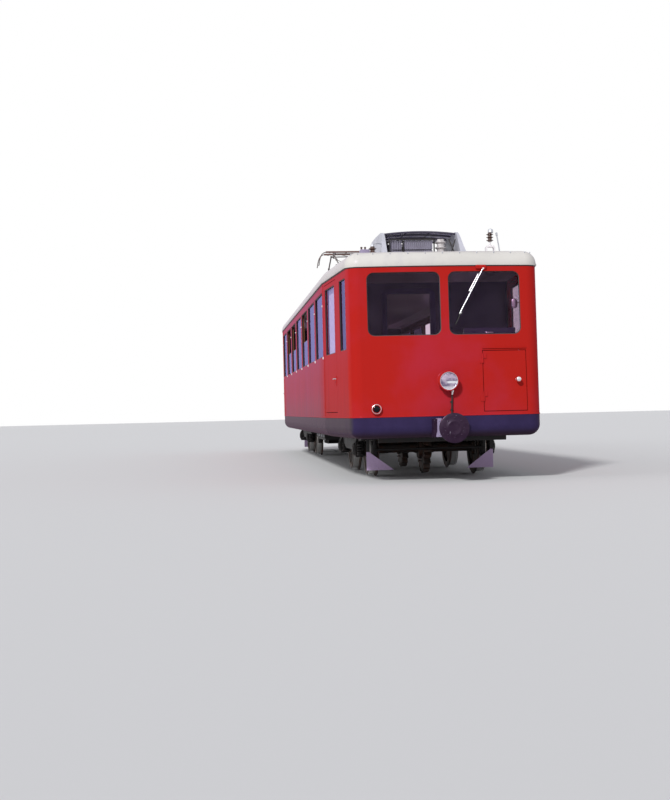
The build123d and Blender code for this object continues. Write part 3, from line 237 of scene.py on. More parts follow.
# Measures shared with the solids
HALF_WIDTH = 1.35
SEAM_Y = 5.15
REACH = 7.3
RAKE = 0.044
SKIRT_TOP = 0.83
GUTTER_Z = 2.72
ROOF_Z = 2.91
FLOOR_Z = 0.88
BOW_R = 10.458
CORNER_R = 0.18
TAPER = math.atan2(0.142, 2.08)
GLASS_AT = 0.020
PANTO_Y = 1.5
SHAFT_Z = 3.23
SHAFT_SPREAD = 0.25
ARM = 1.15
ARM_ANGLE = math.radians(18)
LOWER_ARM_X = 0.61
UPPER_ARM_X = 0.555
HOOD_MIDDLE = -4.95
HOOD_INNER_X = 0.505
AXLE_Z = 0.381
TREAD_R = 0.353
PIVOT_Y = 4.4
HALF_WHEELBASE = 1.0
BUFFER_Z = 0.68
BUFFER_END = 7.7


def body_paint():
    """Enamel: clouded fading, dark runs below the sills, brown dust towards the skirt, orange peel.

    A painted rosy highlight marks the bend of each corner, where across plus along is nearly constant.
    High on the straight sides a painted sky reflection turns the red violet-pink; the tapered sides get warmer
    painted light.
    """
    paint = Finish("body_red", RED, 0.4, Specular_IOR_Level=0.0)
    height = paint.axis("Z")
    across = paint.axis("X").size()
    along = paint.axis("Y").size()
    aside = paint.facing("X").size().step(0.75, 0.99)
    tapered = along.step(SEAM_Y - 1.1, SEAM_Y + 0.25)
    cloudy = paint.noise(0.9, 4.0, 0.6)
    runs = paint.noise(8.0, 4.0, 0.65, paint.stretched(1.0, 1.0, 0.05))
    fine = paint.noise(55.0, 3.0, 0.7)
    # Cloudy fading, plus a painted sky reflection high on the straight sides.
    faded = cloudy.step(0.42, 0.75) * 0.30 + aside * height.step(1.35, 1.95) * 0.7
    base = paint.mix(faded, RED, RED_FADED_AND_SKY_SHEEN)
    # Painted warm light: the tapered sides are made redder.
    base = paint.mix(tapered * aside * (cloudy * 0.3 + 0.55), base, RED_PAINTED_WARM_LIGHT)
    bend = across + along
    # Painted highlight: a rosy band along the bend of each corner.
    painted_corner_highlight = bend.step(8.72, 8.77) * bend.step(8.87, 8.80) * along.step(7.35, 7.50)
    base = paint.mix(painted_corner_highlight * 0.7, base, RED_PAINTED_HIGHLIGHT)
    grime = runs.step(0.42, 0.72) * height.step(1.85, 1.15) * (aside * 0.35 + 0.08) * (1.0 - tapered * 0.6)
    base = paint.mix(grime, base, RED_DEEP)
    dusty = (runs * 0.7 + fine * 0.5) * (aside * 0.55 + 0.06) * (1.0 - tapered * 0.75)
    foot = height.step(1.35, SKIRT_TOP) * dusty
    base = paint.mix(foot.at_most(1.0), base, DUST)
    inner = across.step(1.325, 1.315) * along.step(SEAM_Y + 0.05, SEAM_Y)
    relief = paint.noise(240.0, 2.0) * 0.12 + paint.noise(1.2, 2.0) * 0.6 + fine * 0.02
    roughness = cloudy * 0.12 + grime * 0.25 + foot * 0.35 + 0.32
    mirror = ((0.50, 0.27, 0.42), 0.22, 0.50 - tapered * 0.26)
    return paint.coat(paint.mix(inner, base, PANEL_BROWN), roughness, relief, 0.08, 0.003, mirror)


def roof_paint():
    """Pale roof paint with grime in runs, rust specks and sheet seams across the car."""
    sheet_width = 1.03
    paint = Finish("roof_silver", SILVER, 0.5, Specular_IOR_Level=0.05)
    cloudy = paint.noise(1.6, 5.0, 0.65)
    runs = paint.noise(7.0, 4.0, 0.65, paint.stretched(1.0, 1.0, 0.12))
    specks = paint.noise(45.0, 2.0, 0.6)
    base = paint.mix(cloudy.step(0.4, 0.75) * 0.35, SILVER, shade(SILVER, 0.78))
    base = paint.mix(runs.step(0.5, 0.78) * 0.3, base, (0.47, 0.45, 0.47))
    base = paint.mix(specks.step(0.71, 0.78) * 0.5, base, RUST)
    soot = paint.facing("Z").step(0.8, 0.99) * paint.noise(2.2, 4.0, 0.6).step(0.35, 0.75) * 0.5
    base = paint.mix(soot, base, (0.19, 0.17, 0.17))
    seam = (paint.axis("Y") / sheet_width).fraction().step(0.985, 1.0)
    relief = paint.noise(2.0, 2.0) * 0.6 + specks * 0.05 - seam * 0.4
    return paint.coat(base, cloudy * 0.2 + 0.42, relief, 0.22, 0.006, ((0.62, 0.52, 0.68), 0.3, 0.45))


def skirt_paint():
    """Violet slate paint under road dust that thickens towards the rolled foot and along the sides; painted shade
    darkens the foot of the front faces.
    """
    paint = Finish("skirt_slate", SLATE, 0.4, Specular_IOR_Level=0.0)
    height = paint.axis("Z")
    aside = paint.facing("X").size().step(0.7, 0.99)
    blotches = paint.noise(3.0, 5.0, 0.65)
    fine = paint.noise(70.0, 3.0, 0.7)
    base = paint.mix(blotches.step(0.4, 0.75) * 0.35, SLATE, shade(SLATE, 1.7))
    base = paint.mix(aside * (blotches * 0.6 + 0.2), base, (0.075, 0.070, 0.050))
    # Painted shade: the front faces darken towards the foot.
    base = paint.mix(height.step(0.66, 0.57) * (1.0 - aside) * 0.8, base, (0.016, 0.006, 0.012))
    dusty = height.step(0.68, 0.56) * (fine * 0.7 + blotches * 0.6) * (aside * 0.45 + 0.12)
    base = paint.mix(dusty.at_most(1.0), base, (0.15, 0.115, 0.105))
    roughness = dusty * 0.4 + blotches * 0.15 + 0.3
    mirror = ((0.42, 0.30, 0.36), 0.22, 0.50)
    return paint.coat(base, roughness, paint.noise(2.5, 2.0) + fine * 0.04, 0.12, 0.004, mirror)


def running_gear_paint():
    """Black paint under brake dust, grease and rust."""
    paint = Finish("frame_black", SOOT, 0.6, Specular_IOR_Level=0.35)
    blotches = paint.noise(6.0, 6.0, 0.7)
    fine = paint.noise(90.0, 4.0, 0.7)
    base = paint.mix(blotches.step(0.42, 0.7) * 0.5, SOOT, (0.036, 0.025, 0.020))
    base = paint.mix(fine.step(0.62, 0.78) * 0.3, base, RUST)
    base = paint.mix(paint.facing("Z").step(0.4, 0.9) * 0.4, base, (0.055, 0.042, 0.034))
    return paint.coat(base, blotches * 0.4 + 0.4, fine * 0.5 + blotches, 0.3, 0.002)


def buffer_paint():
    """Dark violet paint, chalked and scratched."""
    paint = Finish("buffer_paint", (0.030, 0.016, 0.034), 0.42, Specular_IOR_Level=0.1)
    blotches = paint.noise(9.0, 5.0, 0.7)
    scratches = paint.noise(40.0, 4.0, 0.7, paint.stretched(1.0, 1.0, 0.3))
    base = paint.mix(blotches.step(0.4, 0.75) * 0.6, (0.016, 0.005, 0.018), (0.042, 0.024, 0.044))
    base = paint.mix(scratches.step(0.66, 0.74) * 0.6, base, (0.34, 0.31, 0.38))
    relief = scratches * 0.4 + blotches * 0.5
    return paint.coat(base, blotches * 0.3 + 0.3, relief, 0.25, 0.0015, ((0.50, 0.36, 0.56), 0.28, 0.7))


def wheel_steel():
    """Rolled steel with a bright running band on the tread and greasy, rusty faces."""
    steel = Finish("wheel_steel", STEEL, 0.5, 0.6)
    blotches = steel.noise(9.0, 5.0, 0.7)
    fine = steel.noise(120.0, 3.0, 0.6)
    base = steel.mix(blotches.step(0.4, 0.7) * 0.7, shade(STEEL, 0.7), RUST)
    reach = steel.axis("X").size()
    running = reach.step(0.700, 0.715) * reach.step(0.812, 0.800) * steel.facing("X").size().step(0.5, 0.2)
    base = steel.mix(running * (fine.step(0.75, 0.35) * 0.3 + 0.7), base, TREAD)
    return steel.coat(base, 0.62 - running * 0.38, fine * 0.4 + blotches * 0.6, 0.25, 0.0015)


def window_glass(name="glass", mirror=(0.42, 0.36, 0.50), least=0.0, most=0.85, clear=(0.80, 0.70, 0.78)):
    """Clear pane: mostly see-through, a tinted mirror at grazing angles, with a film of dust."""
    glass = Finish(name, mirror, 0.05)
    film = glass.noise(5.0, 4.0, 0.6).step(0.4, 0.8)
    see_through = glass.node("ShaderNodeBsdfTransparent", None, {"Color": clear})
    factor = (glass.grazing(1.35) * 0.9 + film * 0.015 + least).at_most(most)
    return glass.layer(factor, see_through, glass.glossy(mirror, 0.05))


def lamp_glass():
    """Silvered reflector under fluted glass, painted with reflections: dark and pale patches, a bright highlight
    bar across one half, a bright highlight at the foot, and shade along the flutes.
    """
    highlight_bar_z = 1.244
    glass = Finish("lamp_glass", (0.40, 0.40, 0.50), 0.16, 0.6, Coat_Weight=0.6, Coat_Roughness=0.03)
    across = glass.axis("X")
    height = glass.axis("Z")
    flutes = (across * 420.0).sine() * 0.5 + 0.5
    patches = glass.noise(16.0, 3.0, 0.6)
    # Painted reflections: dark and pale patches on the reflector.
    base = glass.mix(patches.step(0.30, 0.68), (0.13, 0.09, 0.18), (0.56, 0.46, 0.58))
    # Painted highlight: a bright bar across one half of the glass.
    bar = (height - highlight_bar_z).size().step(0.020, 0.008) * across.step(-0.05, 0.0)
    base = glass.mix(bar, base, (0.95, 0.95, 1.0))
    # Painted highlight: a bright band at the foot of the glass.
    base = glass.mix(height.step(1.205, 1.180) * 0.8, base, (0.90, 0.86, 0.92))
    # Painted shade: darker stripes along the flutes.
    base = glass.mix(flutes * 0.25, base, (0.12, 0.10, 0.20))
    return glass.coat(base, patches * 0.15 + 0.10, flutes + (height * 90.0).sine() * 0.6, 0.5, 0.002)


def black_lens():
    """Unlit marker glass: nearly black, smooth and glossy."""
    glass = Finish("black_lens", (0.004, 0.003, 0.006), 0.12, Specular_IOR_Level=0.15)
    return glass.coat(None, None, glass.noise(60.0, 2.0), 0.05, 0.001)


def sheet_metal(name, color, roughness=0.42, metallic=0.5):
    """Weathered sheet with rolling grain and dull patches."""
    metal = Finish(name, color, roughness, metallic)
    patches = metal.noise(4.0, 5.0, 0.65)
    grain = metal.noise(60.0, 3.0, 0.6, metal.stretched(1.0, 0.1, 1.0))
    base = metal.mix(patches.step(0.4, 0.75) * 0.5, color, shade(color, 0.6))
    dull = patches * 0.3 + grain * 0.1 + (roughness - 0.15)
    return metal.coat(base, dull, grain * 0.4 + patches * 0.6, 0.15, 0.002)


def wire_netting():
    """Two families of slanting wires with open meshes between."""
    pitch = 0.030
    net = Finish("wire_netting", (0.26, 0.24, 0.36), 0.45)
    across, along = net.axis("X"), net.axis("Y")
    warp, weft = (((across + way) / pitch).fraction().step(0.42, 0.34) for way in (along, along * -1.0))
    wires = warp.maths("MAXIMUM", warp, weft)
    tarnish = net.noise(9.0, 4.0, 0.6)
    net.put("Alpha", wires)
    base = net.mix(tarnish.step(0.4, 0.7), (0.62, 0.56, 0.80), (0.30, 0.26, 0.42))
    return net.coat(base, tarnish * 0.3 + 0.35, wires, 0.3, 0.002)


def guard_paint():
    """Lilac-grey plate below a black hanger, spattered near its foot."""
    paint = Finish("guard_grey", LILAC_GREY, 0.5, Specular_IOR_Level=0.4)
    height = paint.axis("Z")
    fine = paint.noise(60.0, 4.0, 0.7)
    base = paint.mix(fine.step(0.5, 0.75) * height.step(0.30, 0.10) * 0.7, LILAC_GREY, DUST)
    base = paint.mix(height.step(0.345, 0.36), base, SOOT)
    return paint.coat(base, fine * 0.3 + 0.35, fine, 0.15, 0.001)


def panto_steel():
    """Weathered steel tube with brown rust."""
    steel = Finish("panto_steel", (0.10, 0.085, 0.08), 0.5, 0.4)
    patches = steel.noise(12.0, 5.0, 0.7)
    base = steel.mix(patches.step(0.42, 0.68), (0.11, 0.095, 0.10), (0.10, 0.050, 0.035))
    return steel.coat(base, patches * 0.4 + 0.3, steel.noise(90.0, 3.0), 0.2, 0.001)


def varnished_wood():
    """Bench wood: long grain across the car under worn varnish."""
    wood = Finish("wood", WOOD, 0.35, Coat_Weight=0.3, Coat_Roughness=0.2)
    grain = wood.noise(14.0, 5.0, 0.6, wood.stretched(0.12, 1.0, 1.0))
    rings = (wood.axis("Z") * 90.0 + grain * 14.0).sine() * 0.5 + 0.5
    base = wood.mix(grain.step(0.3, 0.75), shade(WOOD, 0.55), shade(WOOD, 1.5))
    base = wood.mix(rings * 0.25, base, shade(WOOD, 0.45))
    return wood.coat(base, grain * 0.2 + 0.25, grain * 0.6 + rings * 0.2, 0.2, 0.001)


def cabin_paint():
    """Dark violet enamel of the partitions and desks, scuffed low down."""
    paint = Finish("interior", CABIN, 0.3, Coat_Weight=0.1)
    patches = paint.noise(3.0, 4.0, 0.6)
    scuffs = paint.noise(30.0, 4.0, 0.7) * paint.axis("Z").step(1.5, 0.9)
    base = paint.mix(patches.step(0.4, 0.8) * 0.5, CABIN, shade(CABIN, 1.7))
    base = paint.mix(scuffs.step(0.5, 0.7) * 0.4, base, (0.07, 0.06, 0.07))
    return paint.coat(base, patches * 0.2 + 0.25, paint.noise(150.0, 2.0), 0.08, 0.001)


def plain_rubber(name, color, grain):
    """Dull rubber or floor covering, worn lighter in patches."""
    cover = Finish(name, color, 0.55)
    worn = cover.noise(5.0, 5.0, 0.65)
    base = cover.mix(worn.step(0.4, 0.75), color, shade(color, 1.9))
    return cover.coat(base, worn * 0.25 + 0.45, cover.noise(grain, 2.0), 0.15, 0.001)


def glazed(name, color):
    """Glazed insulator with road grime."""
    glaze = Finish(name, color, 0.18, Coat_Weight=0.5)
    grime = glaze.noise(18.0, 4.0, 0.6)
    base = glaze.mix(grime.step(0.45, 0.75) * 0.6, color, (0.16, 0.12, 0.11))
    return glaze.coat(base, grime * 0.3 + 0.1, grime, 0.1, 0.001)


def curtain_cloth():
    """Lilac cloth: fine warp and weft, soft sheen of folds, faded in patches."""
    threads = 2400.0
    cloth = Finish("curtain_cloth", CLOTH, 0.85, Sheen_Weight=0.3)
    along, up = ((cloth.axis(letter) * threads).sine() for letter in "YZ")
    faded = cloth.noise(2.0, 3.0, 0.6)
    base = cloth.mix(faded.step(0.35, 0.75) * 0.5, CLOTH, shade(CLOTH, 1.35))
    base = cloth.mix(along * up * 0.12 + 0.12, base, shade(CLOTH, 0.6))
    return cloth.coat(base, None, along + up, 0.2, 0.0003)


MATERIALS = {
    "body_red": body_paint(),
    "roof_silver": roof_paint(),
    "skirt_slate": skirt_paint(),
    "frame_black": running_gear_paint(),
    "wheel_steel": wheel_steel(),
    "glass": window_glass(),
    "bare_metal": sheet_metal("bare_metal", GALVANISED),
    "panto_steel": panto_steel(),
    "wood": varnished_wood(),
    "interior": cabin_paint(),
    "floor_dark": plain_rubber("floor_dark", LINOLEUM, 180.0),
    "guard_grey": guard_paint(),
    "porcelain": glazed("porcelain", PORCELAIN),
    "chrome": sheet_metal("chrome", CHROME, 0.26, 0.9),
}
HOOD_SHEET = sheet_metal("hood_sheet", HOOD_GREY, 0.5, 0.1)
NETTING = wire_netting()
HOOD_BARS = sheet_metal("hood_bars", (0.055, 0.048, 0.080), 0.5, 0.2)
SIDE_GLASS = window_glass("side_glass", (0.32, 0.31, 0.66), 0.12)
DOOR_GLASS = window_glass("door_glass", (0.36, 0.34, 0.70), 0.02, 0.30, (0.98, 0.96, 0.98))
BRACKET_PAINT = sheet_metal("bracket_paint", PALE_LILAC, 0.45, 0.1)
DOORWAY_PAINT = sheet_metal("doorway_paint", DOORWAY_BLUE, 0.4, 0.1)
WHITE_METAL = sheet_metal("white_metal", (0.80, 0.76, 0.78), 0.35, 0.3)
BUFFER_PAINT = buffer_paint()
LAMP_GLASS = lamp_glass()
BLACK_LENS = black_lens()
COPPER_STRIP = sheet_metal("copper_strip", COPPER, 0.45, 0.5)
BLACK_RUBBER = plain_rubber("black_rubber", RUBBER, 90.0)
BROWN_PORCELAIN = glazed("brown_porcelain", BROWN_GLAZE)
CURTAIN = curtain_cloth()
GRID_METAL = sheet_metal("grid_metal", (0.42, 0.40, 0.48), 0.5, 0.3)

SLOT_OF = {row["node"]: row["material_slot"] for row in frame["record"]["subparts"]}
OWN_FINISH = {"buffer": BUFFER_PAINT, "side_glass": SIDE_GLASS, "door_glass": DOOR_GLASS}
for name, node in nodes.items():
    own = [finish for start, finish in OWN_FINISH.items() if name.startswith(start)]
    node.data.materials.clear()
    node.data.materials.append(own[0] if own else MATERIALS[SLOT_OF[name]])


# Camera at the photograph's place, from its fitted position and angles

def place_camera():
    """Camera matrix from a heading, a pitch and a roll; the lens from the focal length in pixels."""
    position = Vector((-2.893, -22.688, 0.929))
    heading, pitch, roll = -0.0958, 0.0082, -0.0234
    focal_pixels = 1250.0
    picture_height = 800.0
    level = Vector((-math.sin(heading), math.cos(heading), 0.0))
    side = Vector((math.cos(heading), math.sin(heading), 0.0))
    forward = level * math.cos(pitch) + Vector((0.0, 0.0, math.sin(pitch)))
    upright = Vector((0.0, 0.0, math.cos(pitch))) - level * math.sin(pitch)
    right = side * math.cos(roll) + upright * math.sin(roll)
    up = upright * math.cos(roll) - side * math.sin(roll)
    camera = bpy.data.objects.new("camera", bpy.data.cameras.new("camera"))
    bpy.context.scene.collection.objects.link(camera)
    rows = [(right[i], up[i], -forward[i], position[i]) for i in range(3)]
    camera.matrix_world = Matrix((*rows, (0.0, 0.0, 0.0, 1.0)))
    camera.data.sensor_width = 36.0
    camera.data.lens = focal_pixels / picture_height * camera.data.sensor_width
    camera.data.clip_end = 500.0
    bpy.context.scene.camera = camera


place_camera()


# Surfaces: whole arrays of points, gathered into one mesh a piece

ACROSS, ALONG, UP, UPHILL = (1.0, 0.0, 0.0), (0.0, 1.0, 0.0), (0.0, 0.0, 1.0), (0.0, -1.0, 0.0)
BOTH = (-1, 1)
ENDS = {"front": -1, "rear": 1}
SIDES = {"left": -1, "right": 1}
CORNERS = [(side, end) for side in BOTH for end in BOTH]


def spread(*parts):
    """Points from their coordinates: numbers, lists or arrays that fit one another."""
    return np.stack(np.broadcast_arrays(*parts), -1)


def unit(turn):
    """Points at distance 1 from (0, 0), at given angles."""
    return spread(np.cos(turn), np.sin(turn))


def circle(radius, sides=12):
    """Loop of points at one distance from (0, 0), at even angles."""
    return unit(np.arange(sides) / sides * 2 * np.pi) * radius


def rounded(width, height, radius, steps=4):
    """Loop of a rectangle about (0, 0) whose four corners are quarter circles."""
    quarter = np.arange(4)[:, None]
    turn = (quarter + np.linspace(0, 1, steps + 1)) * np.pi / 2
    middle = (quarter + 0.5) * np.pi / 2
    x = np.sign(np.cos(middle)) * (width / 2 - radius) + np.cos(turn) * radius
    y = np.sign(np.sin(middle)) * (height / 2 - radius) + np.sin(turn) * radius
    return spread(x.ravel(), y.ravel())


def on_arrays(place):
    """Place whose u, v and w may be numbers, lists or arrays that fit one another."""
    return lambda u, v, w: spread(*place(*np.broadcast_arrays(u, v, w)))


def flat_face(origin, across, up):
    """Place on a plane: origin plus u across, v up and w inward, away from the cross product of the two."""
    axes = list(zip(origin, across, up, -np.cross(across, up)))
    return on_arrays(lambda u, v, w: [o + u * x + v * y + w * z for o, x, y, z in axes])


def side_face(side):
    """Place on a straight side: u along the car, v up, w inward from the skin."""
    return on_arrays(lambda u, v, w: (side * (HALF_WIDTH - w), u, v))


def taper_face(side, end):
    """Place on a tapered side: u from the seam towards the front, v up, w inward from the skin."""
    def place(u, v, w):
        x = HALF_WIDTH - u * math.sin(TAPER) - w * math.cos(TAPER)
        y = SEAM_Y + u * math.cos(TAPER) - w * math.sin(TAPER)
        return side * x, end * y, v
    return on_arrays(place)


def front_y(x, z):
    """Distance of a front's skin from the middle: less by the bow's parabola and by the rake."""
    return REACH - RAKE * (z - SKIRT_TOP) - x**2 / (2 * BOW_R)


def front_face(end):
    """Place on a bowed, raked front: u across as seen at the uphill end, v up, w inward."""
    return on_arrays(lambda u, v, w: (-end * u, end * (front_y(u, v) - w), v))


class Build:
    """Surfaces of one piece: point arrays and the faces between them."""

    def __init__(self, points=(), faces=(), count=0):
        self.points = list(points)
        self.faces = list(faces)
        self.count = count

    def grid(self, points, wrap=(False, False), caps=False):
        """Quads between neighbouring rows and columns; wrap joins last to first; caps close both end rows."""
        rows, columns = points.shape[:2]
        index = np.arange(rows * columns).reshape(rows, columns) + self.count
        low = index if wrap[0] else index[:-1]
        high = np.roll(index, -1, 0) if wrap[0] else index[1:]
        quads = np.stack([low, np.roll(low, -1, 1), np.roll(high, -1, 1), high], -1)
        if not wrap[1]:
            quads = quads[:, :-1]
        self.faces += quads.reshape(-1, 4).tolist()
        if caps:
            self.faces += [index[0].tolist(), index[-1].tolist()]
        self.points.append(points.reshape(-1, 3))
        self.count += rows * columns

    def solid(self, rows):
        """Body between loops: each is joined to the next, and the two end loops are closed."""
        self.grid(np.stack(rows), (False, True), True)

    def slab(self, outline, axis, places):
        """Body between copies of a flat outline, at places along the axis that it lacks."""
        self.solid([np.insert(outline, axis, place, 1) for place in places])

    def loft(self, place, width, height, radius, profile, centre=(0.0, 0.0), ring=False, steps=4):
        """Rounded rectangle grown and sunk along a profile of (grow, depth) pairs.

        A ring joins the profile's last pair to its first; otherwise both ends are closed.
        """
        least_radius = 0.0004
        rows = []
        for grow, depth in profile:
            loop = rounded(width + 2 * grow, height + 2 * grow, max(radius + grow, least_radius), steps)
            rows.append(place(loop[:, 0] + centre[0], loop[:, 1] + centre[1], depth))
        self.grid(np.stack(rows), (ring, True), not ring)

    def block(self, place, width, height, depth, centre=(0.0, 0.0), edge=0.003, sunk=0.0):
        """Plate with rounded corners and eased edges, from depth sunk inward."""
        profile = [(-edge, sunk), (0, sunk + edge), (0, sunk + depth - edge), (-edge, sunk + depth)]
        self.loft(place, width, height, 2 * edge, profile, centre, False, 2)

    def box(self, centre, size, edge=0.004):
        """Block about a centre, its edges eased."""
        x, y, z = centre
        place = flat_face((x, y, z - size[2] / 2), ACROSS, ALONG)
        self.block(lambda u, v, w: place(u, v, -w), *size, (0, 0), edge)

    def revolve(self, profile, origin, axis=UP, sides=24, ring=False):
        """(along, radius) pairs turned about an axis; a radius of zero closes to a pole."""
        profile = np.asarray(profile, float)
        axis = np.asarray(axis, float) / np.linalg.norm(axis)
        first = np.cross(axis, UP if abs(axis[2]) < 0.9 else ACROSS)
        first /= np.linalg.norm(first)
        loop = circle(1.0, sides)
        spoke = loop[:, :1] * first + loop[:, 1:] * np.cross(axis, first)
        points = np.asarray(origin) + profile[:, None, :1] * axis + profile[:, None, 1:] * spoke
        self.grid(points, (ring, True), not ring)

    def sweep(self, path, profile, up=UP):
        """Profile loop carried along a path: its first axis level across, its second towards up."""
        path = np.asarray(path, float)
        ahead = np.gradient(path, axis=0)
        ahead /= np.linalg.norm(ahead, axis=1, keepdims=True)
        across = np.cross(ahead, np.asarray(up, float))
        across /= np.linalg.norm(across, axis=1, keepdims=True)
        lift = np.cross(across, ahead)
        self.solid(path[:, None] + profile[:, :1] * across[:, None] + profile[:, 1:] * lift[:, None])

    def rod(self, start, end, radius, sides=10):
        """Round bar between two points."""
        ahead = np.abs(np.asarray(end, float) - np.asarray(start, float))
        up = ACROSS if ahead[2] > 0.8 * np.linalg.norm(ahead) else UP
        self.sweep([start, end], circle(radius, sides), up)

    def coil(self, foot, height, radius, wire, turns):
        """Spring on a foot: the helix x = r cos t, y = r sin t, z rising evenly with t."""
        turn = np.linspace(0, turns * 2 * np.pi, int(turns * 14))
        rise = np.linspace(0, height, turn.size)
        path = spread(radius * np.cos(turn), radius * np.sin(turn), rise) + foot
        self.sweep(path, circle(wire, 6))

    def moved(self, shift=(0.0, 0.0, 0.0), turned=False):
        """The same surfaces, moved after they are turned half round about the car's middle, or not."""
        way = (-1.0, -1.0, 1.0) if turned else (1.0, 1.0, 1.0)
        return Build([points * way + shift for points in self.points], self.faces, self.count)

    def piece(self, name, slot, material=None, replaces=(), body="car_body", closed=True):
        """One object of the surfaces, its doubles merged and its faces turned outward."""
        mesh = bpy.data.meshes.new(name)
        mesh.from_pydata(np.concatenate(self.points).tolist(), [], self.faces)
        shape = bmesh.new()
        shape.from_mesh(mesh)
        bmesh.ops.remove_doubles(shape, verts=shape.verts, dist=1e-6)
        if closed:
            bmesh.ops.recalc_face_normals(shape, faces=shape.faces)
        shape.to_mesh(mesh)
        shape.free()
        mesh.shade_smooth()
        mesh.set_sharp_from_angle(angle=math.radians(38))
        mesh.materials.append(material or MATERIALS[slot])
        made = bpy.data.objects.new(name, mesh)
        bpy.context.scene.collection.objects.link(made)
        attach(made, body)
        if replaces:
            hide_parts(*replaces)
        return made


def builds(count):
    """As many empty builds."""
    return [Build() for _ in range(count)]


def at_both_ends(*parts):
    """Gives each build a copy of itself at the other end of the car."""
    for build in parts:
        build.faces += [[corner + build.count for corner in face] for face in build.faces]
        build.points += build.moved(turned=True).points
        build.count *= 2


# Windows of the straight sides, counted from the uphill end; the sashes that are lowered, by side
WINDOWS = 7
WINDOW_PITCH = 1.47
WINDOW_WIDTH = 1.28
SILL_Z, HEAD_Z = 1.69, 2.60
LOWERED = {-1: (2, 4, 5), 1: (4, 2, 1)}
LOWERED_TOP = 2.11
WINDOW_MIDDLE = (SILL_Z + HEAD_Z) / 2
WINDOW_HEIGHT = HEAD_Z - SILL_Z
# Middle and width of the narrow window behind a corner, and of the door's
QUARTER = (1.365 + 0.465 / 2, 0.465)
DOOR_WINDOW = (0.585, 0.80)
SEAL = [(0.0, 0.005), (-0.010, 0.009), (-0.010, GLASS_AT), (0.0, GLASS_AT)]
SASH = [(0.009, 0.029), (-0.026, 0.029), (-0.026, 0.047), (0.009, 0.047)]


def window_seal(build, face, middle, width):
    """Rubber seal round a pane of the usual height."""
    build.loft(face, width, WINDOW_HEIGHT, 0.025, SEAL, (middle, WINDOW_MIDDLE), True)


def side_windows():
    """Rubber seals at the panes, wooden sashes behind them, catches and sill caps on the posts.

    The caps are bright white, which also paints the sun's glints at the foot of each post.
    """
    seals, sashes, caps = builds(3)
    for side in BOTH:
        face = side_face(side)
        for index in range(WINDOWS):
            middle = (index - (WINDOWS - 1) / 2) * WINDOW_PITCH
            window_seal(seals, face, middle, WINDOW_WIDTH)
            height = (LOWERED_TOP if index in LOWERED[side] else HEAD_Z) - SILL_Z
            sashes.loft(face, WINDOW_WIDTH, height, 0.02, SASH, (middle, SILL_Z + height / 2), True)
        for post in range(WINDOWS + 1):
            middle = np.clip((post - WINDOWS / 2) * WINDOW_PITCH, -SEAM_Y + 0.05, SEAM_Y - 0.05)
            # Bright white catches and buttons: fittings that also stand for painted sun glints on the posts.
            catch = [(0, 0.001), (0, -0.008), (-0.005, -0.013)]
            caps.loft(face, 0.050, 0.034, 0.005, catch, (middle, SILL_Z - 0.022))
            button = [(0, 0.001), (0, -0.008), (-0.004, -0.012)]
            caps.loft(face, 0.030, 0.026, 0.0098, button, (middle, 2.40))
    for side, end in CORNERS:
        window_seal(seals, taper_face(side, end), *QUARTER)
    seals.piece("window_seals", "floor_dark", BLACK_RUBBER)
    sashes.piece("window_sashes", "wood")
    caps.piece("post_caps_and_glints", "chrome", WHITE_METAL)


def front_windows():
    """Rubber seals of the two windows in each front, rounded as the openings are."""
    seals = Build()
    for end in BOTH:
        for middle in (-0.5125, 0.5125):
            seals.loft(front_face(end), 0.925, 0.80, 0.09, SEAL, (middle, 2.24), True, 8)
    seals.piece("end_window_seals", "floor_dark", BLACK_RUBBER)


def door_fittings():
    """Window seal, lever handle and handle plate of each entrance door, riding on the door."""
    lever_z, lever_out = 1.345, -0.032
    for end_name, end in ENDS.items():
        for side_name, side in SIDES.items():
            face = taper_face(side, end)
            corner = f"{end_name}_{side_name}"
            body = f"entrance_{corner}"
            rubber, lever, plate = builds(3)
            window_seal(rubber, face, *DOOR_WINDOW)
            rubber.piece(f"door_seal_{corner}", "floor_dark", BLACK_RUBBER, body=body)
            lever.rod(*face(1.030, lever_z, [0.002, lever_out]), 0.008)
            lever.sweep(face(np.linspace(1.034, 0.945, 6), lever_z, lever_out), circle(0.0065, 8))
            lever.piece(f"door_handle_{corner}", "bare_metal", body=body)
            plate.block(face, 0.045, 0.13, 0.008, (1.025, 1.32), 0.002, -0.006)
            plate.piece(f"handle_plate_{corner}", "body_red", body=body)


def door_curtain():
    """Curtain behind the window of the uphill left door, hung from a rod on the door.

    The cloth is a grid: level place by s, height by t, and depth a sine of s whose folds deepen with t.
    """
    body = "entrance_front_left"
    face = taper_face(-1, -1)
    first, last = 0.195, 0.665
    top, foot = 2.625, 1.655
    hang = 0.060
    rod, cloth = builds(2)
    rod.rod(*face([first - 0.02, 0.99], top, hang), 0.005, 8)
    for u in (0.18, 0.98):
        rod.rod(*face(u, top, [0.0445, hang + 0.008]), 0.004, 8)
    curtain_rod = rod.piece("curtain_rod", "chrome", body=body)
    s = np.linspace(0, 1, 181)[None, :]
    t = np.linspace(0, 1, 25)[:, None]
    u = first + (last - first) * s + 0.006 * np.sin(9 * t) * (1 - s)
    depth = hang + (0.005 + 0.006 * t) * np.sin(2 * np.pi * (11 * s + 0.25 * np.sin(5 * s))) + 0.002 * t
    points = face(u, top + (foot - top) * t, depth)
    cloth.grid(points)
    curtain = cloth.piece("door_curtain", "floor_dark", CURTAIN, body=body, closed=False)


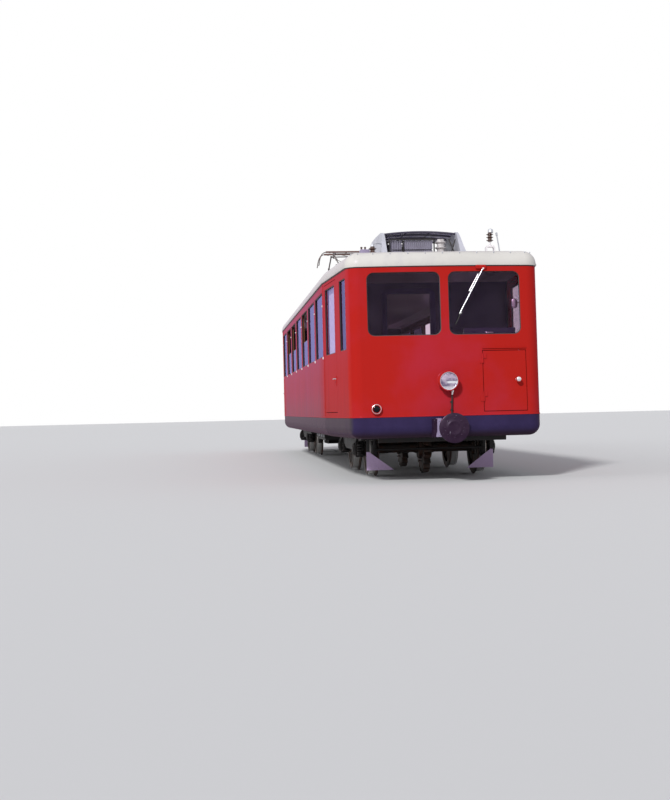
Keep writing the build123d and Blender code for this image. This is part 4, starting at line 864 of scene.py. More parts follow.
def plan_loop(grow, height, steps=10):
    """Loop round the car's plan at a height, moved outward by grow.

    A corner is an arc that touches the tapered side and the bowed front; the front is an arc
    of one large radius; the fronts lean in with height.
    """
    reach = REACH - RAKE * (height - SKIRT_TOP)
    along = np.array([-math.sin(TAPER), math.cos(TAPER)])
    outward = np.array([math.cos(TAPER), math.sin(TAPER)])
    line = np.array([HALF_WIDTH, SEAM_Y]) - CORNER_R * outward
    middle = np.array([0.0, reach - BOW_R])
    back = line - middle
    half = back @ along
    travel = -half + math.sqrt(half**2 - back @ back + (BOW_R - CORNER_R) ** 2)
    corner = line + travel * along
    start, stop = (math.atan2(way[1], way[0]) for way in (outward, corner - middle))

    side = np.array([[HALF_WIDTH + grow, 0.0], [HALF_WIDTH + grow, SEAM_Y + grow * TAPER / 2]])
    bend = corner + (CORNER_R + grow) * unit(np.linspace(start, stop, steps))
    bow = middle + (BOW_R + grow) * unit(np.linspace(stop, np.pi / 2, 2 * steps)[1:])
    quarter = np.concatenate([side, bend, bow])
    half_loop = np.concatenate([quarter, (quarter * (-1, 1))[::-1][1:]])
    loop = np.concatenate([half_loop[:-1], (half_loop * (-1, -1))[:-1]])
    return np.insert(loop, 2, height, 1)


def moulding(build, level, profile):
    """Moulding round the whole car: plan loops at (grow, rise above a level) pairs, joined to a ring."""
    build.grid(np.stack([plan_loop(grow, level + rise) for grow, rise in profile]), (True, True))


def body_mouldings():
    """Lower edge of the red skin, cover strips on the seams, drip gutter and a black seal under the roof;
    the black seal strip also paints the gutter's shadow line.
    """
    edge, gutter, shadow = builds(3)
    moulding(edge, SKIRT_TOP, [(0.0, -0.006), (0.006, -0.004), (0.007, 0.004), (0.003, 0.012),
                               (-0.002, 0.012), (-0.002, -0.006)])
    strip = [(0, 0.001), (0, -0.002), (-0.004, -0.004)]
    middle = (GUTTER_Z + SKIRT_TOP) / 2
    for side, end in CORNERS:
        edge.loft(side_face(side), 0.03, GUTTER_Z - SKIRT_TOP - 0.03, 0.002, strip, (end * SEAM_Y, middle))
    edge.piece("body_edges", "body_red")
    moulding(gutter, GUTTER_Z, [(0.001, -0.004), (0.016, -0.006), (0.020, 0.004), (0.020, 0.018),
                                (0.017, 0.018), (0.016, 0.002), (0.001, -0.001)])
    gutter.piece("roof_gutter", "roof_silver")
    # Black strip under the gutter: a seal that also stands for the gutter's painted shadow line.
    moulding(shadow, GUTTER_Z, [(0.0, -0.018), (0.005, -0.016), (0.005, -0.006), (-0.001, -0.005)])
    shadow.piece("gutter_seal_and_shadow", "floor_dark", BLACK_RUBBER)


def round_front(build, x, z, profile, ring=False, sides=32):
    """Turned part whose axis runs straight forward from the uphill front at x, z."""
    build.revolve(profile, (x, -front_y(x, z), z), UPHILL, sides, ring)


def lamps():
    """Headlamp rim, reflector glass and foot flange; marker ring and lens; conduit to the buffer."""
    rims, glass, markers, flange, conduit = builds(5)
    lamp = (0.0, 1.26)
    marker = (-0.898, 0.93)
    round_front(flange, *lamp, [(0.045, 0.1225), (0.048, 0.1265), (0.120, 0.1265), (0.128, 0.124), (0.131, 0.119),
                                (0.128, 0.114), (0.118, 0.112), (0.118, 0.1225)], True, 48)
    round_front(rims, *lamp, [(0.118, 0.106), (0.118, 0.1145), (0.127, 0.1145), (0.133, 0.1115),
                              (0.133, 0.108), (0.126, 0.106)], True, 48)
    round_front(glass, *lamp, [(0.112, 0.108), (0.118, 0.1085), (0.124, 0.085), (0.129, 0.045), (0.131, 0.0)],
                False, 48)
    round_front(rims, *marker, [(0.006, 0.058), (0.008, 0.062), (0.040, 0.062), (0.046, 0.060), (0.048, 0.056),
                                (0.043, 0.0515), (0.035, 0.0515), (0.035, 0.058)], True)
    round_front(markers, *marker, [(0.028, 0.0515), (0.035, 0.0515), (0.046, 0.034), (0.051, 0.0)])
    front = front_face(-1)
    flange.loft(front, 0.268, 0.268, 0.1339, [(0, 0.002), (0, -0.006), (-0.008, -0.011), (-0.037, -0.011),
                                              (-0.037, 0.002)], lamp, True, 12)
    flange.loft(front, 0.150, 0.150, 0.0749, [(0, 0.002), (0, -0.004), (-0.006, -0.007), (-0.011, -0.007),
                                              (-0.011, 0.002)], marker, True, 10)
    fitting_y = -front_y(0.0, 1.12) - 0.03
    top, foot = 1.085, 0.80
    rims.revolve([(0, 0.010), (0.002, 0.017), (0.030, 0.017), (0.032, 0.013), (0.060, 0.012), (0.066, 0.008)],
                 (0.062, fitting_y, 1.150), (-0.15, 0, -1), 16)
    turn = np.linspace(0, 1, 18)
    path = spread(0.052 - 0.010 * np.sin(np.pi * turn * 0.5), fitting_y - 0.012 * turn, top - (top - foot) * turn)
    conduit.sweep(path, circle(0.010, 10), ACROSS)
    for z in (1.00, 0.90):
        conduit.box((0.046, fitting_y + 0.017, z), (0.034, 0.036, 0.020), 0.003)
    at_both_ends(rims, glass, markers, flange, conduit)
    glass.piece("headlamp_glass", "chrome", LAMP_GLASS, ("lenses_front", "lenses_rear"))
    markers.piece("marker_glass", "glass", BLACK_LENS)
    rims.piece("lamp_rims", "chrome")
    flange.piece("lamp_flanges", "body_red")
    conduit.piece("lamp_conduits", "frame_black")


def buffers():
    """Domed disc face with a raised ring and eight rivets; stiffening brackets on the buffer's box."""
    face, brackets = builds(2)
    face.revolve([(0.0, 0.183), (0.004, 0.184), (0.008, 0.176), (0.012, 0.140), (0.0155, 0.095),
                  (0.021, 0.088), (0.0215, 0.076), (0.018, 0.068), (0.0195, 0.03), (0.020, 0.0)],
                 (0, -BUFFER_END, BUFFER_Z), UPHILL, 56)
    for x, z in circle(0.118, 8):
        face.revolve([(-0.006, 0.011), (0.003, 0.011), (0.007, 0.007), (0.008, 0.0)],
                     (x, -BUFFER_END - 0.011, BUFFER_Z + z), UPHILL, 10)
    outline = np.array([(0.115, 0.800), (0.155, 0.800), (0.163, 0.790), (0.166, 0.640), (0.180, 0.590),
                        (0.180, 0.570), (0.115, 0.570)])
    eased = (outline - (0.148, 0)) * (0.92, 1) + (0.148, 0)
    for side in BOTH:
        loops = ((outline, -7.30), (outline, -7.476), (eased, -7.480))
        brackets.solid([np.insert(loop * (side, 1), 1, y, 1) for loop, y in loops])
        for z in (0.60, 0.77):
            brackets.revolve([(-0.004, 0.011), (0.006, 0.011), (0.009, 0.0)], (side * 0.145, -7.48, z), UPHILL, 6)
    at_both_ends(face, brackets)
    face.piece("buffer_faces", "frame_black", BUFFER_PAINT)
    brackets.piece("buffer_brackets", "frame_black", BRACKET_PAINT)


def wipers():
    """Second rod, blade and red motor cover of each wiper."""
    covers, rods, blades = builds(3)
    front = front_face(-1)
    covers.block(front, 0.135, 0.048, 0.034, (0.475, 2.690), 0.006, -0.032)
    rods.rod(*front([0.436, 0.312], [2.60, 2.385], [-0.022, -0.026]), 0.0065, 8)
    rods.rod(*front(0.499, 2.668, [0.0, -0.050]), 0.011, 12)
    rods.rod(*front(0.205, 2.113, [-0.020, -0.010]), 0.008, 8)
    ends = front([0.276, 0.130], [2.262, 1.972], -0.012)
    blades.sweep(np.linspace(ends[0], ends[1], 6), rounded(0.010, 0.016, 0.003, 2), UPHILL)
    at_both_ends(covers, rods, blades)
    covers.piece("wiper_covers", "body_red")
    rods.piece("wiper_rods", "chrome", WHITE_METAL)
    blades.piece("wiper_blades", "floor_dark", BLACK_RUBBER)


def hatch_knobs():
    """Turned chrome knob over each hatch's plain one."""
    knob = Build()
    x, z = 0.908, 1.267
    round_front(knob, x, z, [(0.0, 0.020), (0.004, 0.026), (0.010, 0.019), (0.038, 0.018), (0.044, 0.034),
                             (0.062, 0.0355), (0.074, 0.030), (0.079, 0.018), (0.080, 0.0)], False, 28)
    knob.piece("hatch_knob_front", "chrome", body="hatch_lid_front")
    knob.moved(turned=True).piece("hatch_knob_rear", "chrome", body="hatch_lid_rear")


def ribbed(foot, height, core, rim, sheds):
    """(along, radius) pairs of an insulator: each shed swells from the core to the rim and back."""
    step = height / sheds
    shed = np.array([(0.12, core), (0.40, rim), (0.52, rim), (0.62, core * 1.05)])
    rows = [spread(foot + (index + shed[:, 0]) * step, shed[:, 1]) for index in range(sheds)]
    return np.concatenate([[(foot, core)], *rows, [(foot + height, core), (foot + height, core * 0.7)]])


def roof_fittings():
    """Bolts along the fronts' roof edge; arrester on its bracket, whistle, cable box, cable on insulators."""
    bolts, glaze, cap, bracket, box, pipe = builds(6)
    heads = plan_loop(-0.02, ROOF_Z - 0.075)
    roof_end_y = 7.05
    for x, y, z in heads[np.abs(heads[:, 1]) > roof_end_y][::4]:
        bolts.revolve([(-0.02, 0.006), (0.001, 0.006), (0.004, 0.004), (0.004, 0.0)],
                      (x * 0.985, y * 0.997, z + 0.055), (x * 0.02, np.sign(y) * 0.35, 0.94), 8)
    spot = np.array((0.83, -6.2, ROOF_Z))
    arch = np.array([(-0.064, -0.01), (-0.064, 0.150), (-0.050, 0.178), (0.050, 0.178), (0.064, 0.150),
                     (0.064, -0.01), (0.044, -0.01), (0.044, 0.140), (0.036, 0.156), (-0.036, 0.156),
                     (-0.044, 0.140), (-0.044, -0.01)])
    bracket.slab(arch + spot[::2], 1, (spot[1] - 0.03, spot[1] + 0.03))
    bracket.revolve([(0.170, 0.0), (0.170, 0.022), (0.184, 0.022), (0.190, 0.012), (0.238, 0.011)], spot, UP, 16)
    glaze.revolve(ribbed(0.232, 0.120, 0.026, 0.047, 3), spot, UP, 28)
    cap.revolve([(0.350, 0.0), (0.350, 0.030), (0.358, 0.036), (0.390, 0.034), (0.402, 0.026), (0.408, 0.010),
                 (0.409, 0.0)], spot, (0.03, 0, 1))
    pipe.sweep([(0.966, -6.2, ROOF_Z - 0.005), (0.958, -6.2, 3.02), (0.940, -6.2, 3.14), (0.925, -6.2, 3.235)],
               circle(0.0085, 10), ALONG)
    pipe.revolve([(0.0, 0.010), (0.004, 0.014), (0.040, 0.014), (0.044, 0.009), (0.046, 0.0)],
                 (0.927, -6.2, 3.222), (-0.15, 0, 1), 12)
    box_top = 3.075
    box.box((-0.845, -6.0, (ROOF_Z + box_top) / 2 - 0.01), (0.125, 0.16, box_top - ROOF_Z + 0.02), 0.006)
    for x in (-0.885, -0.835):
        glaze.revolve([(-0.005, 0.012), (0.024, 0.012), (0.028, 0.016), (0.040, 0.015), (0.046, 0.0)],
                      (x, -6.0, box_top), UP, 12)
    for x, y, height in ((-0.735, -6.0, 0.215), (-0.76, -4.1, 0.20), (-0.74, -2.0, 0.20), (-0.70, 0.2, 0.20)):
        glaze.revolve(ribbed(-0.005, height, 0.030, 0.052, 4), (x, y, ROOF_Z), UP, 22)
        dome = np.array([(-0.006, 0.0), (-0.006, 0.026), (0.020, 0.024), (0.034, 0.012), (0.036, 0.0)])
        cap.revolve(dome + (height, 0), (x, y, ROOF_Z), UP, 16)
    pipe.sweep([(-0.735, -6.0, 3.137), (-0.752, -5.2, 3.105), (-0.76, -4.1, 3.122), (-0.75, -3.1, 3.095),
                (-0.74, -2.0, 3.122), (-0.72, -0.9, 3.10), (-0.70, 0.2, 3.122), (-0.69, 1.0, 3.14)],
               circle(0.008, 8))
    pipe.sweep([(-0.735, -6.0, 3.140), (-0.70, -5.93, 3.165), (-0.64, -5.80, 3.19), (-0.57, -5.66, 3.20)],
               circle(0.007, 8))
    glaze.piece("roof_insulators", "porcelain", BROWN_PORCELAIN, ("lightning_arrester",))
    cap.piece("insulator_caps", "bare_metal")
    bracket.piece("arrester_bracket", "bare_metal", WHITE_METAL)
    box.piece("cable_box", "roof_silver", BRACKET_PAINT)
    pipe.piece("whistle_and_cables", "bare_metal", replaces=("whistle",))
    bolts.piece("roof_bolts", "bare_metal")


def resistor_grids():
    """Resistors in the hood: zigzag ribbons on rails, ribbed stacks beside the outer rows, braces.

    A ribbon's plan is a line across the car whose depth alternates by a fold at even steps.
    """
    rails, ribbons, stacks = builds(3)
    tray = ROOF_Z + 0.05
    left, right = -0.47, 0.165
    row_pitch, row_half = 0.33, 0.118
    ribbon_half, fold_half = 0.002, 0.016
    for x in (-0.40, 0.10, 0.44):
        rails.box((x, HOOD_MIDDLE, ROOF_Z + 0.022), (0.05, 1.57, 0.045))
    for y in np.linspace(-0.73, 0.73, 6) + HOOD_MIDDLE:
        rails.box((0.0, y, ROOF_Z + 0.047), (0.95, 0.04, 0.012), 0.003)
    for row in range(5):
        y = HOOD_MIDDLE + (row - 2) * row_pitch
        for face in (-row_half, row_half):
            for x in (left + 0.01, -0.275, right - 0.01):
                rails.box((x, y + face, tray + 0.152), (0.018, 0.014, 0.296), 0.002)
            for z in (0.012, 0.290):
                rails.box(((left + right) / 2, y + face, tray + z), (right - left, 0.012, 0.016), 0.002)
        for bank_left, bank_right, turns in ((left + 0.03, -0.295, 6), (-0.255, right - 0.03, 14)):
            across = np.linspace(bank_left, bank_right, turns * 2 + 1)[:, None]
            fold = np.where(np.arange(across.size) % 2, fold_half, -fold_half)[:, None]
            for depth in (-0.085, 0.0, 0.085):
                for low, high in ((0.030, 0.140), (0.155, 0.270)):
                    thick = np.array([-ribbon_half, -ribbon_half, ribbon_half, ribbon_half])
                    levels = tray + np.array([low, high, high, low])
                    ribbons.solid(spread(across, y + depth + fold + thick, levels))
    for end in BOTH:
        stacks.revolve(ribbed(0.0, 0.30, 0.050, 0.079, 4), (0.268, HOOD_MIDDLE + end * 0.66, tray), UP, 28)
        y = HOOD_MIDDLE + end * 0.74
        for foot, head in ((0.37, 0.49), (0.49, 0.40)):
            rails.rod((foot, y, tray), (head, y - end * 0.16, 3.27), 0.008, 8)
        rails.box((-0.17, y - end * 0.015, tray + 0.165), (0.40, 0.008, 0.06), 0.002)
    rails.piece("resistor_rails", "panto_steel", MATERIALS["frame_black"], ("resistor_bank",))
    ribbons.piece("resistor_ribbons", "panto_steel", GRID_METAL)
    stacks.piece("resistor_stacks", "porcelain")


def hood():
    """Resistor hood: two cheeks with rounded shoulders, arch bars across and netting over the top.

    In side view the top edge climbs a straight slope, turns over on an arc and runs level to the middle.
    A cheek is the solid between a level inner face and an outer face that leans in with height; the netting
    is the top edge swept across, raised by a parabola.
    """
    cheeks, bars, net = builds(3)
    top_z = 3.385
    foot = np.array([-5.95, ROOF_Z - 0.012])
    shoulder = np.array([-5.53, top_z])
    lean = math.atan2(*(shoulder - foot)[::-1])
    radius = 0.26
    centre = np.array([shoulder[0] + radius * math.tan(lean / 2), top_z - radius])
    arc = centre + radius * unit(np.linspace(lean + np.pi / 2, np.pi / 2, 12))
    climb = foot + (arc[0] - foot) * np.linspace(0, 1, 10)[:-1, None]
    edge = np.concatenate([climb, arc, [[HOOD_MIDDLE, top_z]]])
    edge = np.concatenate([edge, (edge[:-1] * (-1, 1) + (2 * HOOD_MIDDLE, 0))[::-1]])
    along, ridge = edge[:, :1], edge[:, 1:]
    heights = foot[1] + (ridge - foot[1]) * np.linspace(1, 0, 14)
    outer = np.interp(heights, [2.90, 3.06, 3.16, 3.26, 3.33, top_z], [0.600, 0.585, 0.556, 0.534, 0.522, 0.514])
    belly = 1 - (along - HOOD_MIDDLE) ** 2
    outer = outer + 0.038 * belly * np.clip((heights - 2.95) / 0.25, 0, 1)
    inner = np.full(along.shape, HOOD_INNER_X)
    x = np.concatenate([inner, inner, outer], 1)
    z = np.concatenate([np.full(along.shape, foot[1]), ridge, heights], 1)
    for side in BOTH:
        cheeks.grid(spread(side * x, along, z), (False, True))
    cheeks.piece("hood_cheeks", "roof_silver", HOOD_SHEET, ("resistor_hood",))

    def rise(x):
        return 0.031 * (1 - (x / HOOD_INNER_X) ** 2)

    across = np.linspace(-HOOD_INNER_X - 0.004, HOOD_INNER_X + 0.004, 25)
    for y, level in ((-0.50, 0.026), (0.50, 0.026), (-0.17, 0.018), (0.17, 0.018)):
        path = spread(across, HOOD_MIDDLE + y, top_z - level + rise(across))
        bars.sweep(path, rounded(0.026, 0.024, 0.004, 2))
    for x in (-0.17, 0.17):
        z = top_z - 0.016 + rise(x)
        bars.rod((x, HOOD_MIDDLE - 0.5, z), (x, HOOD_MIDDLE + 0.5, z), 0.006, 6)
    bars.piece("hood_bars", "panto_steel", HOOD_BARS)
    along = np.linspace(-0.50, 0.50, 21)[:, None]
    level = top_z - 0.002 + rise(across) - 0.012 * (along / 0.5) ** 4
    net.grid(spread(across, along + HOOD_MIDDLE, level))
    netting = net.piece("hood_netting", "panto_steel", NETTING, closed=False)
    netting.modifiers.new("wire", "SOLIDIFY").thickness = 0.002


def pantograph():
    """Ribbed feet and lift springs on the base, cross braces in the arms, copper on the strips.

    A lift spring is the helix x = r cos t, z = r sin t, with y even with t.
    """
    feet, springs, uppers, lowers, head, copper, clips = builds(7)
    foot_x, foot_y = 0.68, 0.46
    for side, end in CORNERS:
        spot = (side * foot_x, PANTO_Y + end * foot_y, ROOF_Z)
        feet.revolve(ribbed(0.004, 0.184, 0.050, 0.078, 4), spot)
    feet.piece("base_insulators", "porcelain", BROWN_PORCELAIN)
    spring_z = SHAFT_Z - 0.09
    spring_r, spring_length = 0.028, 0.12
    turn = np.linspace(0, 16 * np.pi, 130)
    helix = spread(spring_r * np.cos(turn), turn / turn[-1] * spring_length, spring_r * np.sin(turn))
    for x in (-0.16, 0.16):
        for start in (-0.17, 0.05):
            springs.sweep(helix + (x, PANTO_Y + start, spring_z), circle(0.005, 6), (0.3, 0.1, 1.0))
        springs.rod((x, PANTO_Y - 0.47, spring_z), (x, PANTO_Y + 0.47, spring_z), 0.007, 8)
    springs.piece("lift_springs", "panto_steel")

    shaft_y = PANTO_Y - SHAFT_SPREAD
    rise = ARM * math.sin(ARM_ANGLE)
    knee_y = shaft_y - ARM * math.cos(ARM_ANGLE)
    pin_z = SHAFT_Z + 2 * rise
    for side in BOTH:
        low = np.array([side * UPPER_ARM_X, knee_y, SHAFT_Z + rise])
        pin = np.array([side * UPPER_ARM_X, shaft_y, pin_z])
        high = pin * (-1, 1, 1)
        uppers.rod(low + (high - low) * 0.03, low + (high - low) * 0.97, 0.005, 6)
        uppers.box((low + pin) / 2, (0.034, 0.05, 0.034), 0.003)
        shaft = np.array([side * LOWER_ARM_X, shaft_y, SHAFT_Z])
        knee = np.array([side * LOWER_ARM_X, knee_y, SHAFT_Z + rise])
        lowers.rod(shaft + (knee - shaft) * 0.06, (shaft + (knee - shaft) * 0.78) * (-1, 1, 1), 0.006, 6)
        lowers.box(shaft + (knee - shaft) * 0.08, (0.055, 0.09, 0.055))
    for kind, braces in (("upper", uppers), ("lower", lowers)):
        rear = braces.moved((0.0, 2 * PANTO_Y, 0.0), True)
        braces.piece(f"{kind}_braces_front", "panto_steel", body=f"{kind}_arm_front")
        rear.piece(f"{kind}_braces_rear", "panto_steel", body=f"{kind}_arm_rear")

    top = pin_z + 0.055
    strip_y, carrier_x = 0.19, 0.518
    horn = np.array([(0.640, 0.0), (0.690, -0.001), (0.730, -0.010), (0.765, -0.032), (0.792, -0.070),
                     (0.812, -0.120), (0.826, -0.180), (0.835, -0.245), (0.842, -0.262)])
    bar = np.array([(-0.020, -0.004), (0.020, -0.004), (0.020, 0.004), (-0.020, 0.004)])
    strip = np.array([(-0.0215, -0.020), (0.0215, -0.020), (0.0215, 0.004), (0.014, 0.009), (-0.014, 0.009),
                      (-0.0215, 0.004)])
    for end in BOTH:
        y = PANTO_Y + end * strip_y
        pin_y = PANTO_Y + end * SHAFT_SPREAD
        for level in (-0.024, -0.009):
            head.sweep(np.linspace((-0.69, y, top + level), (0.69, y, top + level), 9), bar)
        copper.sweep(np.linspace((-0.70, y, top - 0.005), (0.70, y, top - 0.005), 15), strip)
        for side in BOTH:
            head.sweep(np.insert(horn * (side, 1) + (0, top - 0.012), 1, y, 1), circle(0.009, 10), ALONG)
            head.rod((side * carrier_x, y, top - 0.030), (side * carrier_x, pin_y, pin_z), 0.009)
            head.revolve([(-0.008, 0.0), (-0.008, 0.019), (0.008, 0.019), (0.008, 0.0)],
                         (side * carrier_x, pin_y, pin_z), ACROSS, 20)
            clips.coil((side * carrier_x, PANTO_Y + end * 0.10, top - 0.105), 0.062, 0.014, 0.003, 6)
        for x in (-0.62, -0.31, 0.31, 0.62):
            clips.box((x, y, top - 0.027), (0.03, 0.056, 0.012), 0.002)
    for side in BOTH:
        for x, reach, drop, radius, sides in ((carrier_x, 0.21, 0.036, 0.008, 10), (0.30, 0.20, 0.032, 0.006, 8)):
            start, stop = ((side * x, PANTO_Y + end * reach, top - drop) for end in BOTH)
            head.rod(start, stop, radius, sides)
    head.piece("head_frame", "panto_steel", replaces=("pantograph_head",), body="contact_head")
    copper.piece("contact_strips", "panto_steel", COPPER_STRIP, body="contact_head")
    clips.piece("strip_clips", "panto_steel", body="contact_head")


def wheelsets():
    """Turned wheels with rim, dished web and hub, stepped axle, and the rack wheel with its teeth.

    A tooth's flanks narrow evenly from root to tip; the whole outline is one loop, drawn across.
    """
    wheel = [(0.668, 0.0725), (0.668, 0.105), (0.735, 0.115), (0.722, 0.278), (0.684, 0.288), (0.680, 0.292),
             (0.680, 0.372), (0.684, 0.379), (0.690, 0.381), (0.698, 0.379), (0.708, 0.363), (0.716, 0.3545),
             (0.730, 0.353), (0.808, 0.3515), (0.815, 0.347), (0.815, 0.292), (0.811, 0.288), (0.752, 0.280),
             (0.766, 0.118), (0.826, 0.108), (0.830, 0.104), (0.830, 0.0725)]
    half = np.array([(0.985, 0.0), (0.985, 0.050), (0.980, 0.058), (0.838, 0.058), (0.834, 0.0724),
                     (0.655, 0.0724), (0.620, 0.064), (0.150, 0.064), (0.125, 0.0724)])
    hub = [(0.040, 0.235), (0.047, 0.232), (0.050, 0.160), (0.086, 0.150), (0.090, 0.146), (0.090, 0.0728),
           (0.040, 0.0728)]
    origin = (0.0, 0.0, 0.0)
    solid = Build()
    for side in BOTH:
        way = (side, 0, 0)
        solid.revolve(wheel, origin, way, 64, True)
        solid.revolve(hub, origin, way, 40, True)
        for y, z in circle(0.088, 6):
            solid.revolve([(0.824, 0.010), (0.834, 0.010), (0.837, 0.007), (0.837, 0.0)], (0, y, z), way, 6)
        for y, z in circle(0.195, 10):
            solid.revolve([(0.044, 0.011), (0.060, 0.011), (0.063, 0.008), (0.063, 0.0)], (0, y, z), way, 6)
    solid.revolve(np.concatenate([half * (-1, 1), half[::-1]]), origin, ACROSS, 36)
    teeth = 20
    tooth = np.array([(-0.5, 0.279), (-0.37, 0.281), (-0.30, 0.300), (-0.12, 0.346), (-0.10, 0.350),
                      (0.10, 0.350), (0.12, 0.346), (0.30, 0.300), (0.37, 0.281)])
    angle = (np.arange(teeth)[:, None] + tooth[:, 0]).ravel() * 2 * np.pi / teeth
    reach = np.tile(tooth[:, 1], teeth)
    solid.solid([np.insert((reach - shrink)[:, None] * unit(angle), 0, x, 1)
                 for x, shrink in ((-0.045, 0.003), (-0.042, 0.0), (0.042, 0.0), (0.045, 0.003))])
    axles = [end * PIVOT_Y + axle * HALF_WHEELBASE for end in BOTH for axle in BOTH]
    for index, y in enumerate(axles, 1):
        name = f"wheelset_{index}"
        solid.moved((0, y, AXLE_Z)).piece(f"turned_{name}", "wheel_steel", replaces=(name,), body=f"axle_{index}")


def bogie_gear():
    """Axlebox covers, coil springs on their brackets, brake blocks with hangers and cross rods."""
    gear = Build()
    tread_x, spring_x, box_x, hanger_z = 0.752, 0.91, 0.975, 0.590
    shoe = rounded(0.044, 0.074, 0.006, 2)
    for side in BOTH:
        way = (side, 0, 0)
        for axle in BOTH:
            y = -PIVOT_Y + axle * HALF_WHEELBASE
            gear.revolve([(-0.004, 0.088), (0.010, 0.088), (0.016, 0.080), (0.018, 0.052), (0.030, 0.048),
                          (0.033, 0.0)], (side * box_x, y, AXLE_Z), way, 28)
            for bolt_y, bolt_z in circle(0.070, 6):
                gear.revolve([(0.012, 0.008), (0.022, 0.008), (0.024, 0.0)],
                             (side * box_x, y + bolt_y, AXLE_Z + bolt_z), way, 6)
            gear.box((side * spring_x, y, 0.308), (0.095, 0.43, 0.016), 0.003)
            for end in BOTH:
                foot = (side * spring_x, y + end * 0.162, 0.316)
                gear.coil(foot, 0.158 if end == axle else 0.128, 0.038, 0.010, 4.5)
                gear.revolve([(0, 0.046), (0.008, 0.046), (0.012, 0.030), (0.030, 0.028)], foot, UP, 16)
                turn = np.linspace(-0.30, 0.30, 9)[:, None] + (0.0 if end > 0 else math.pi)
                radius = TREAD_R + 0.032 + shoe[:, 0]
                gear.solid(spread(side * tread_x + shoe[:, 1], y + radius * np.cos(turn),
                                  AXLE_Z + radius * np.sin(turn)))
                back = y + end * (TREAD_R + 0.060)
                hinge = (side * tread_x, back + end * 0.045, hanger_z)
                gear.box((side * tread_x, back + end * 0.006, AXLE_Z), (0.050, 0.030, 0.14), 0.005)
                gear.rod((side * tread_x, back + end * 0.012, AXLE_Z + 0.04), (*hinge[:2], 0.60), 0.013)
                gear.rod(hinge, (side * 0.895, *hinge[1:]), 0.016)
    for axle in BOTH:
        for end in BOTH:
            y = -PIVOT_Y + axle * HALF_WHEELBASE + end * (TREAD_R + 0.078)
            gear.rod((-tread_x, y, AXLE_Z), (tread_x, y, AXLE_Z), 0.017, 12)
    gear.piece("bogie_gear_front", "frame_black", body="bogie_front")
    gear.moved(turned=True).piece("bogie_gear_rear", "frame_black", body="bogie_rear")


def motor_case():
    """Ribs and end bells over the plain traction motor."""
    case = Build()
    top, low = 0.5697, 0.2247
    middle = (top + low) / 2
    for y in np.linspace(-0.42, 0.42, 7):
        case.box((0.0, PIVOT_Y + y, middle), (1.016, 0.028, top - low + 0.012))
    for side in BOTH:
        case.revolve([(-0.01, 0.150), (0.020, 0.150), (0.032, 0.135), (0.040, 0.09), (0.040, 0.0)],
                     (side * 0.5, PIVOT_Y, middle), (side, 0, 0), 32)
    case.piece("motor_ribs", "frame_black", body="bogie_rear")


def underfloor():
    """Lids and latches on the equipment boxes, domed ends and bands on the air tanks, end beams."""
    lids, latches, tanks, beams = builds(4)
    box_top, tank_z = 0.7677, 0.56
    boxes = ((-1.08, -1.3, 1.5, 0.33), (1.08, -1.0, 1.1, 0.30), (1.08, 1.3, 1.4, 0.33), (-1.08, 1.4, 0.9, 0.28))
    for x, y, length, height in boxes:
        face = side_face(int(np.sign(x)))
        deep = HALF_WIDTH - abs(x)
        middle = box_top - height / 2
        count = max(2, round(length / 0.5))
        for part in range(count):
            lid = (y + (part - (count - 1) / 2) * length / count, middle)
            size = (length / count - 0.03, height - 0.03, 0.012)
            lids.block(face, *size, lid, 0.004, deep - 0.011)
            ring = [(-0.012, -0.010), (-0.016, -0.016), (-0.026, -0.016), (-0.030, -0.010)]
            lids.loft(face, *size, [(grow, deep + sunk) for grow, sunk in ring], lid, True)
            for end in BOTH:
                spot = (lid[0] + end * (length / count / 2 - 0.09), middle - height / 2 + 0.075)
                latches.block(face, 0.03, 0.05, 0.012, spot, 0.003, deep - 0.026)
    for x in (-0.15, 0.15):
        for end in BOTH:
            tanks.revolve([(-0.01, 0.1305), (0.004, 0.1305), (0.020, 0.122), (0.040, 0.095), (0.052, 0.050),
                           (0.055, 0.0)], (x, 0.6 + end * 0.65, tank_z), (0, end, 0), 32)
            tanks.revolve([(-0.022, 0.1300), (-0.022, 0.1345), (0.022, 0.1345), (0.022, 0.1300)],
                          (x, 0.6 + end * 0.325, tank_z), ALONG, 36, True)
    for end in BOTH:
        beams.box((0, end * 6.86, 0.560), (1.66, 0.05, 0.12), 0.006)
        for x in (-0.7, 0.7):
            beams.box((x, end * 6.80, 0.64), (0.06, 0.12, 0.20), 0.006)
    lids.piece("box_lids", "frame_black")
    latches.piece("box_latches", "bare_metal")
    tanks.piece("tank_ends", "frame_black")
    beams.piece("headstocks", "frame_black")


